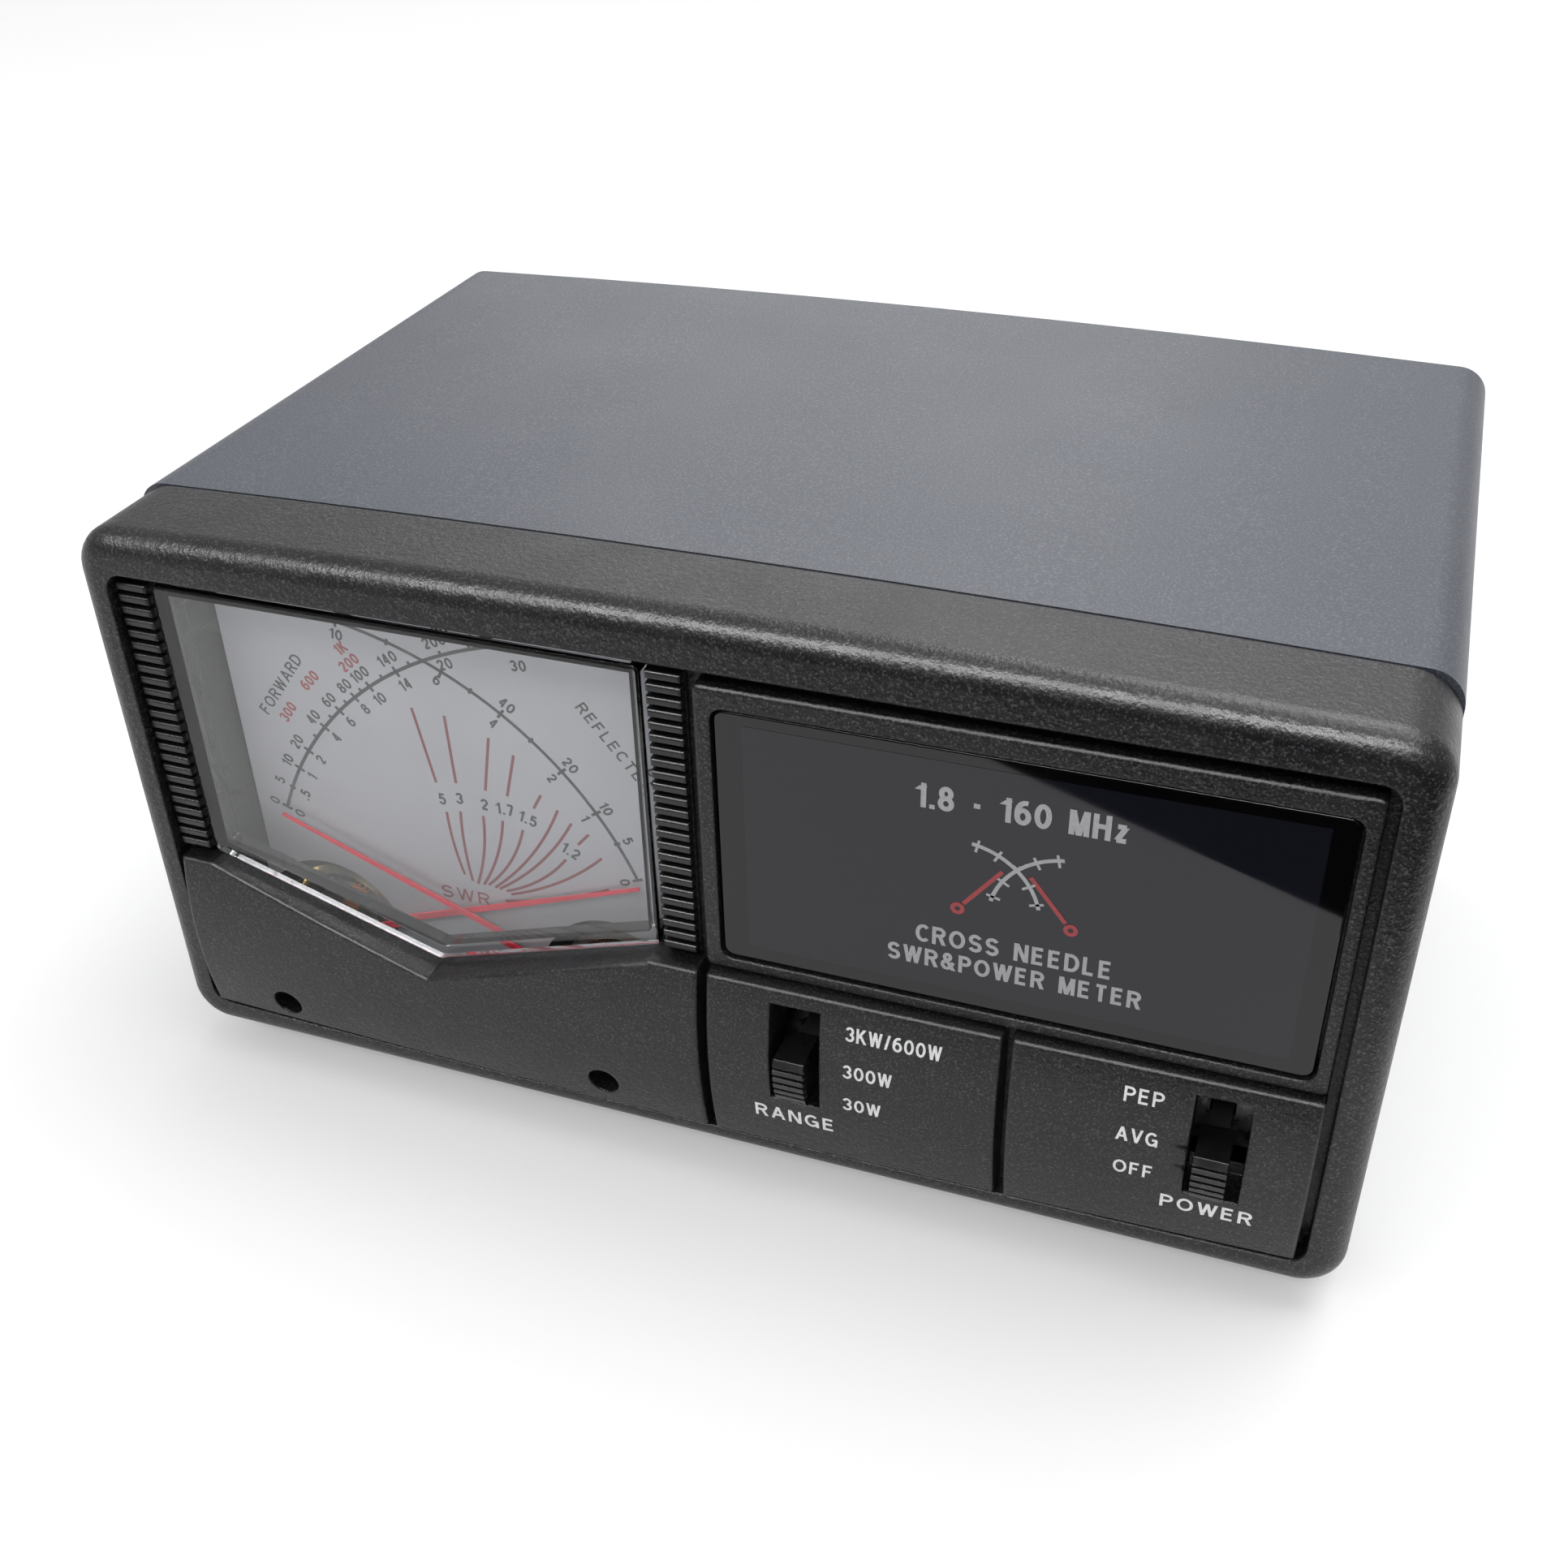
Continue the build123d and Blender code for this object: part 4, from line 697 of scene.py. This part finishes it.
def bowed(start, end, bow, steps=10):
    """Points from start to end, pushed sideways by bow in the middle."""
    run = Vector((end[0] - start[0], end[1] - start[1]))
    side = Vector((-run.y, run.x)).normalized()
    points = []
    for i in range(steps + 1):
        t = i / steps
        push = 4 * bow * t * (1 - t)
        points.append((start[0] + run.x * t + side.x * push, start[1] + run.y * t + side.y * push))
    return points


def dial_arcs(on_dial, forward, reflected):
    """Both arcs with their ticks."""
    lines = Print("dial_arcs", "scale", on_dial, "dial_paint")
    lines.arc(forward, ARC_RADIUS, FORWARD_SCALE[0], ARC_END, FORWARD_LINE)
    lines.arc(reflected, ARC_RADIUS, REFLECTED_SCALE[0], 180 - ARC_END, REFLECTED_LINE)
    ticks(lines, forward, FORWARD_SCALE, FORWARD_MAIN, FORWARD_SHORT)
    ticks(lines, reflected, REFLECTED_SCALE, REFLECTED_MAIN, REFLECTED_SHORT)
    lines.finish()


def dial_numbers(on_dial, forward, reflected):
    """Numbers of both arcs and of the SWR lines."""
    numbers = Print("dial_numbers", "scale", on_dial, "dial_paint")
    outer = {value: str(value) for value in (0, 5, 10, 20, 40, 60, 80, 100, 140, 200)}
    inner = {0: "0", 5: ".5", 10: "1", 20: "2", 40: "4", 60: "6", 80: "8", 100: "10", 140: "14"}
    arc_labels(numbers, forward, FORWARD_SCALE, outer, LABEL_STEP)
    arc_labels(numbers, forward, FORWARD_SCALE, inner, -LABEL_STEP)
    numbers.text("30", -25.1, 60.4, NUMBER_HEIGHT, 8)
    outer = {value: str(value) for value in (5, 10, 20, 40)}
    inner = {0: "0", 10: "1", 20: "2", 40: "4"}
    arc_labels(numbers, reflected, REFLECTED_SCALE, outer, LABEL_STEP * 0.9)
    arc_labels(numbers, reflected, REFLECTED_SCALE, inner, -LABEL_STEP)
    sides = {"forward": (forward, FORWARD_SCALE), "reflected": (reflected, REFLECTED_SCALE)}
    for words, (side, value, right, up) in LOOSE_NUMBERS.items():
        centre, scale = sides[side]
        x, z = polar(centre, ARC_RADIUS - LABEL_STEP, scale[value])
        numbers.text(words, x + right, z + up, NUMBER_HEIGHT, scale[value] - 90)
    for words, (x, z, turn) in SWR_LABELS.items():
        numbers.text(words, x, z, SWR_HEIGHT, turn)
    numbers.finish()


def dial_words(on_dial):
    """Names of both scales."""
    words = Print("dial_words", "scale", on_dial, "dial_paint")
    words.text("FORWARD", -59.1, 51.8, WORD_HEIGHT, turn=53.5, width=11.4, weight=0.15)
    words.text("REFLECTED", -13.5, 51.35, WORD_HEIGHT, turn=-51.5, width=13.2, weight=0.15)
    words.finish()


def dial_red_numbers(on_dial, forward):
    """Full-scale powers in red beside the forward scale."""
    red = Print("dial_red_numbers", "red", on_dial, "dial_paint")
    for words, (angle, radius) in RED_NUMBERS.items():
        red.text(words, *polar(forward, radius, angle), NUMBER_HEIGHT, angle - 88, weight=0.19)
    red.finish()


def dial_scales():
    """Both arcs with their ticks, numbers and names."""
    on_dial = flat_surface("dial_plate")
    forward = shifted(pivot_of("forward"), FORWARD_SHIFT)
    reflected = shifted(pivot_of("reflected"), REFLECTED_SHIFT)
    dial_arcs(on_dial, forward, reflected)
    dial_numbers(on_dial, forward, reflected)
    dial_words(on_dial)
    dial_red_numbers(on_dial, forward)


def swr_fan():
    """The fan of SWR lines, which meets above its name."""
    on_dial = flat_surface("dial_plate")
    fan = Print("dial_swr_lines", "curve", on_dial, "dial_paint")
    for root, gap_start, gap_end, tip, bow in SWR_LINES.values():
        fan.stroke(bowed(root, gap_start, bow), FINE_LINE)
        if tip:
            fan.stroke([gap_end, tip], FINE_LINE)
    fan.finish()
    title = Print("dial_swr_title", "curve", on_dial, "dial_paint")
    title.text("SWR", -36.9, 23.9, 1.95, width=7.0, weight=0.14)
    title.finish()


# ---- Window print ----

# Widths of the pane's plain border.
BORDER_LEFT = 3.2
BORDER_RIGHT = 2.7
BORDER_BOTTOM = 2.0
BORDER_TOP = 1.5
SIGN_HEIGHT = 44.9          # of the hubs of the crossed-needle sign
SIGN_HALF_WIDTH = 6.2
SIGN_RADIUS = 9.0
SIGN_TICKS = 5
SIGN_LINE = 0.45
SIGN_NEEDLE = 0.5


def sign_half(letters, needles, centre, side):
    """One side of the crossed-needle sign: a hub, its needle and its arc with ticks. side is -1 or 1."""
    hub = (centre + side * SIGN_HALF_WIDTH, SIGN_HEIGHT)
    letters.arc(hub, SIGN_RADIUS, 90 + side * 8, 90 + side * 78, SIGN_LINE, steps=36)
    aim = 90 + side * 38
    needles.stroke([polar(hub, 1.0, aim), polar(hub, SIGN_RADIUS - 1.4, aim)], SIGN_NEEDLE)
    for step in range(SIGN_TICKS):
        angle = 90 + side * (12 + 15.5 * step)
        letters.stroke([polar(hub, SIGN_RADIUS - 0.9, angle), polar(hub, SIGN_RADIUS + 0.7, angle)], 0.3)
    needles.arc(hub, 0.55, 0, 360, SIGN_NEEDLE, steps=24)


def window_print():
    """Grey field with plain lettering and a crossed-needle sign, on the glossy pane."""
    on_pane = flat_surface("display_window")
    low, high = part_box("display_window")
    left, right = low.x / MM + BORDER_LEFT, high.x / MM - BORDER_RIGHT
    bottom, top = (low.z - BASE) / MM + BORDER_BOTTOM, (high.z - BASE) / MM - BORDER_TOP
    field = Print("window_field", "field", on_pane, "window_print")
    field.slab([(left, bottom), (right, bottom), (right, top), (left, top)])
    field.finish()

    def above(x, z):
        return on_pane(x, z) - INK_THICK - LAYERS * LAYER_STEP
    letters = Print("window_letters", "pale", above, "window_print")
    needles = Print("window_sign", "pale_red", above, "window_print")
    centre = (left + right) / 2 + 0.1
    letters.text("1.8 - 160 MHz", centre, 58.9, 3.1, width=22.5, weight=0.19)
    letters.text("CROSS NEEDLE", centre + 0.1, 40.5, 2.45, width=21.8)
    letters.text("SWR&POWER METER", centre + 0.2, 37.2, 2.4, width=28.4)
    for side in (-1, 1):
        sign_half(letters, needles, centre, side)
    letters.finish()
    needles.finish()


# ---- Panel labels ----

# Middle in X and Z, height, width and weight of the white words on the panels.
PANEL_WORDS = {
    "3KW/600W": (24.45, 25.5, 2.0, 11.5, 0.15),
    "300W": (21.5, 20.0, 2.0, 6.0, 0.15),
    "30W": (20.85, 14.8, 2.0, 4.7, 0.15),
    "PEP": (53.1, 25.7, 2.0, 4.4, 0.15),
    "AVG": (52.9, 20.1, 2.0, 4.7, 0.15),
    "OFF": (52.9, 15.0, 2.0, 4.5, 0.15),
    "RANGE": (12.25, 10.2, 2.2, 10.1, 0.16),
    "POWER": (61.45, 10.8, 2.2, 10.3, 0.16),
}


def panel_labels():
    """White lettering on the range and power panels."""
    on_panel = curved_surface("range_panel", "power_panel")
    labels = Print("panel_labels", "white", on_panel, "panel_plastic")
    for words, (x, z, cap, width, weight) in PANEL_WORDS.items():
        labels.text(words, x, z, cap, width=width, weight=weight)
    labels.finish()


# ---- Back ----

THREAD_PITCH = 25.4 / 24
THREAD_HEIGHT = 0.3
THREAD_TURNS = 9.6
THREAD_STEPS = 36           # in each turn
THREAD_START = 12.6         # in front of the sockets' mouths
THREAD_HALF_WIDTH = 0.42
THREAD_ROOT = -0.15         # how far the ridge's foot lies inside the barrel
SOCKET_RADIUS = 7.9
SOCKET_HEIGHT = 38.0
SOCKET_SPOTS = {"transmitter": -26.0, "antenna": 26.0}
# Middle in X and Z, and height, of the white names on the rear panel.
BACK_WORDS = {
    "TX": (SOCKET_SPOTS["transmitter"], 56.5, 3.2),
    "ANT": (SOCKET_SPOTS["antenna"], 56.5, 3.2),
    "DC 13.8V": (60.0, 29.5, 2.2),
}


def back_labels():
    """Plain white names of the sockets and the supply jack on the rear panel."""
    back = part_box("rear_panel")[1].y
    labels = Print("back_labels", "white", lambda x, z: back, "cover_paint", facing=-1)
    for words, (x, z, cap) in BACK_WORDS.items():
        labels.text(words, x, z, cap)
    labels.finish()


def thread_ring(mesh, x, y, angle, crest):
    """Section of the thread's ridge at an angle round the socket at x: foot, crest, foot."""
    ring = []
    for across, rise in ((-THREAD_HALF_WIDTH, THREAD_ROOT), (0.0, crest), (THREAD_HALF_WIDTH, THREAD_ROOT)):
        radius = SOCKET_RADIUS + rise
        spot = at(x + radius * math.cos(angle), y + across, SOCKET_HEIGHT + radius * math.sin(angle))
        ring.append(mesh.verts.new(spot))
    return ring


def socket_thread(name, x):
    """Screw thread round a coaxial socket's barrel, a ridge wound from the flange to the mouth's notches."""
    mesh = bmesh.new()
    start = (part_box("coax_sockets")[1].y - FRONT) / MM - THREAD_START
    rings = []
    for i in range(round(THREAD_TURNS * THREAD_STEPS) + 1):
        turn = i / THREAD_STEPS
        crest = THREAD_HEIGHT * max(0.02, min(1.0, turn, THREAD_TURNS - turn))
        rings.append(thread_ring(mesh, x, start + THREAD_PITCH * turn, 2 * math.pi * turn, crest))
    for first, second in zip(rings, rings[1:]):
        for k in range(3):
            n = (k + 1) % 3
            mesh.faces.new((first[k], first[n], second[n], second[k]))
    mesh.faces.new(rings[0][::-1])
    mesh.faces.new(rings[-1])
    add_piece(name, mesh, SLOTS["socket_plate"])


# ---- Studio ----

FLOOR_SIZE = 12.0
PAPER = (0.76, 0.76, 0.76)
PAPER_GLOW = 0.27           # keeps the floor white in the shade
CAMERA_SPOT = (0.06506, -0.20037, 0.16673)
CAMERA_TURN = (55.829, 1.166, 19.543)       # in degrees round X, then Y, then Z
CAMERA_LENS = 40.1
SENSOR_WIDTH = 36.0
FLAG_SIZE = 1.4
FLAG_EDGE = (0.0377, -0.144)        # a point of the dark board's near edge
FLAG_TURN = 23.3                    # and the edge's direction, in degrees from +X
FLAG_COLOUR = (0.01, 0.01, 0.01)
AIM = (0, 0, 0.04)
# The soft lights: spot, width, height, power, and whether they light matt surfaces too, or gloss alone.
LIGHTS = {
    "top_light": ((0.35, 0.25, 1.5), 1.0, 1.0, 12.5, True),
    "front_light": ((-0.3, -1.05, 1.15), 1.5, 0.25, 7.0, True),
    "sheen_light": ((-0.5, 1.5, 0.85), 0.9, 0.6, 2.2, False),
    "bezel_light": ((0.05, 0.9, 1.35), 0.6, 0.6, 8.0, False),
    "rim_light": ((-0.15, -1.05, 1.2), 1.7, 0.22, 42.0, False),
}


def make_camera():
    """Camera at the photograph's viewing angle."""
    data = bpy.data.cameras.new("camera")
    data.lens = CAMERA_LENS
    data.sensor_width = SENSOR_WIDTH
    data.clip_start = 0.01
    data.clip_end = 50.0
    camera = bpy.data.objects.new("camera", data)
    bpy.context.scene.collection.objects.link(camera)
    turned = Euler([math.radians(angle) for angle in CAMERA_TURN]).to_matrix().to_4x4()
    camera.matrix_world = Matrix.Translation(CAMERA_SPOT) @ turned
    bpy.context.scene.camera = camera


def make_floor():
    """Plain pale floor."""
    data = bpy.data.meshes.new("floor")
    half = FLOOR_SIZE / 2
    corners = [(-half, -half, 0), (half, -half, 0), (half, half, 0), (-half, half, 0)]
    data.from_pydata(corners, [], [(0, 1, 2, 3)])
    made, tree, shader = new_material("floor_paper", PAPER, 0.8, Specular_IOR_Level=0.0,
                                      Emission_Color=(1.0, 1.0, 1.0, 1.0), Emission_Strength=PAPER_GLOW)
    tint(tree, shader, PAPER, dark=0.995, light=1.005, size=60.0)
    data.materials.append(made)
    floor = bpy.data.objects.new("floor", data)
    bpy.context.scene.collection.objects.link(floor)


def make_flag():
    """Dark board flat on the floor in front, as beyond a sheet's edge, seen only in glossy reflections."""
    data = bpy.data.meshes.new("flag")
    half = FLAG_SIZE / 2
    corners = [(-half, -FLAG_SIZE), (half, -FLAG_SIZE), (half, 0), (-half, 0)]
    turned = Matrix.Rotation(math.radians(FLAG_TURN), 2)
    spots = [turned @ Vector(corner) + Vector(FLAG_EDGE) for corner in corners]
    data.from_pydata([(spot.x, spot.y, 0.001) for spot in spots], [], [(0, 1, 2, 3)])
    made, tree, shader = new_material("flag_cloth", FLAG_COLOUR, 0.9, Specular_IOR_Level=0.0)
    tint(tree, shader, FLAG_COLOUR, dark=0.8, light=1.2, size=5.0)
    data.materials.append(made)
    flag = bpy.data.objects.new("flag", data)
    bpy.context.scene.collection.objects.link(flag)
    for kind in ("camera", "diffuse", "transmission", "shadow"):
        setattr(flag, "visible_" + kind, False)


def soft_light(name, spot, width, height, strength, lights_matt):
    """A large soft panel light, aimed at the object and unseen by the camera."""
    data = bpy.data.lights.new(name, "AREA")
    data.shape = "RECTANGLE"
    data.size = width
    data.size_y = height
    data.energy = strength
    lamp = bpy.data.objects.new(name, data)
    bpy.context.scene.collection.objects.link(lamp)
    lamp.location = spot
    lamp.rotation_mode = "QUATERNION"
    lamp.rotation_quaternion = (Vector(AIM) - Vector(spot)).to_track_quat("-Z", "Y")
    lamp.visible_camera = False
    lamp.visible_diffuse = lights_matt


def make_world(seen, front, back, rise):
    """White surroundings, as bright as seen for the camera.

    What they light with goes from front to back, and rises by rise towards the top.
    """
    world = bpy.data.worlds.new("studio")
    bpy.context.scene.world = world
    world.use_nodes = True
    tree = world.node_tree
    background = tree.nodes["Background"]
    background.inputs["Color"].default_value = (1.0, 1.0, 1.0, 1.0)
    heading = node(tree, "SeparateXYZ", {"Vector": node(tree, "TexCoord").outputs["Generated"]})
    across = spread(tree, heading.outputs["Y"], front, back, -1.0, 1.0)
    upward = spread(tree, heading.outputs["Z"], 0.0, rise)
    light = node(tree, "Math", {0: across, 1: upward}, operation="ADD").outputs["Value"]
    path = node(tree, "LightPath").outputs["Is Camera Ray"]
    level = node(tree, "Mix", {"Factor": path, "A": light, "B": seen})
    tree.links.new(level.outputs["Result"], background.inputs["Strength"])


def make_studio():
    """Camera, floor and soft lights."""
    make_camera()
    make_floor()
    make_flag()
    make_world(seen=1.05, front=0.09, back=0.72, rise=0.2)
    for name, settings in LIGHTS.items():
        soft_light(name, *settings)
    bpy.context.scene.view_settings.view_transform = "Standard"


# ---- The object ----

make_studio()
dress_cad()
dial_scales()
swr_fan()
window_print()
panel_labels()
back_labels()
for socket_name, socket_x in SOCKET_SPOTS.items():
    socket_thread(socket_name + "_socket_thread", socket_x)
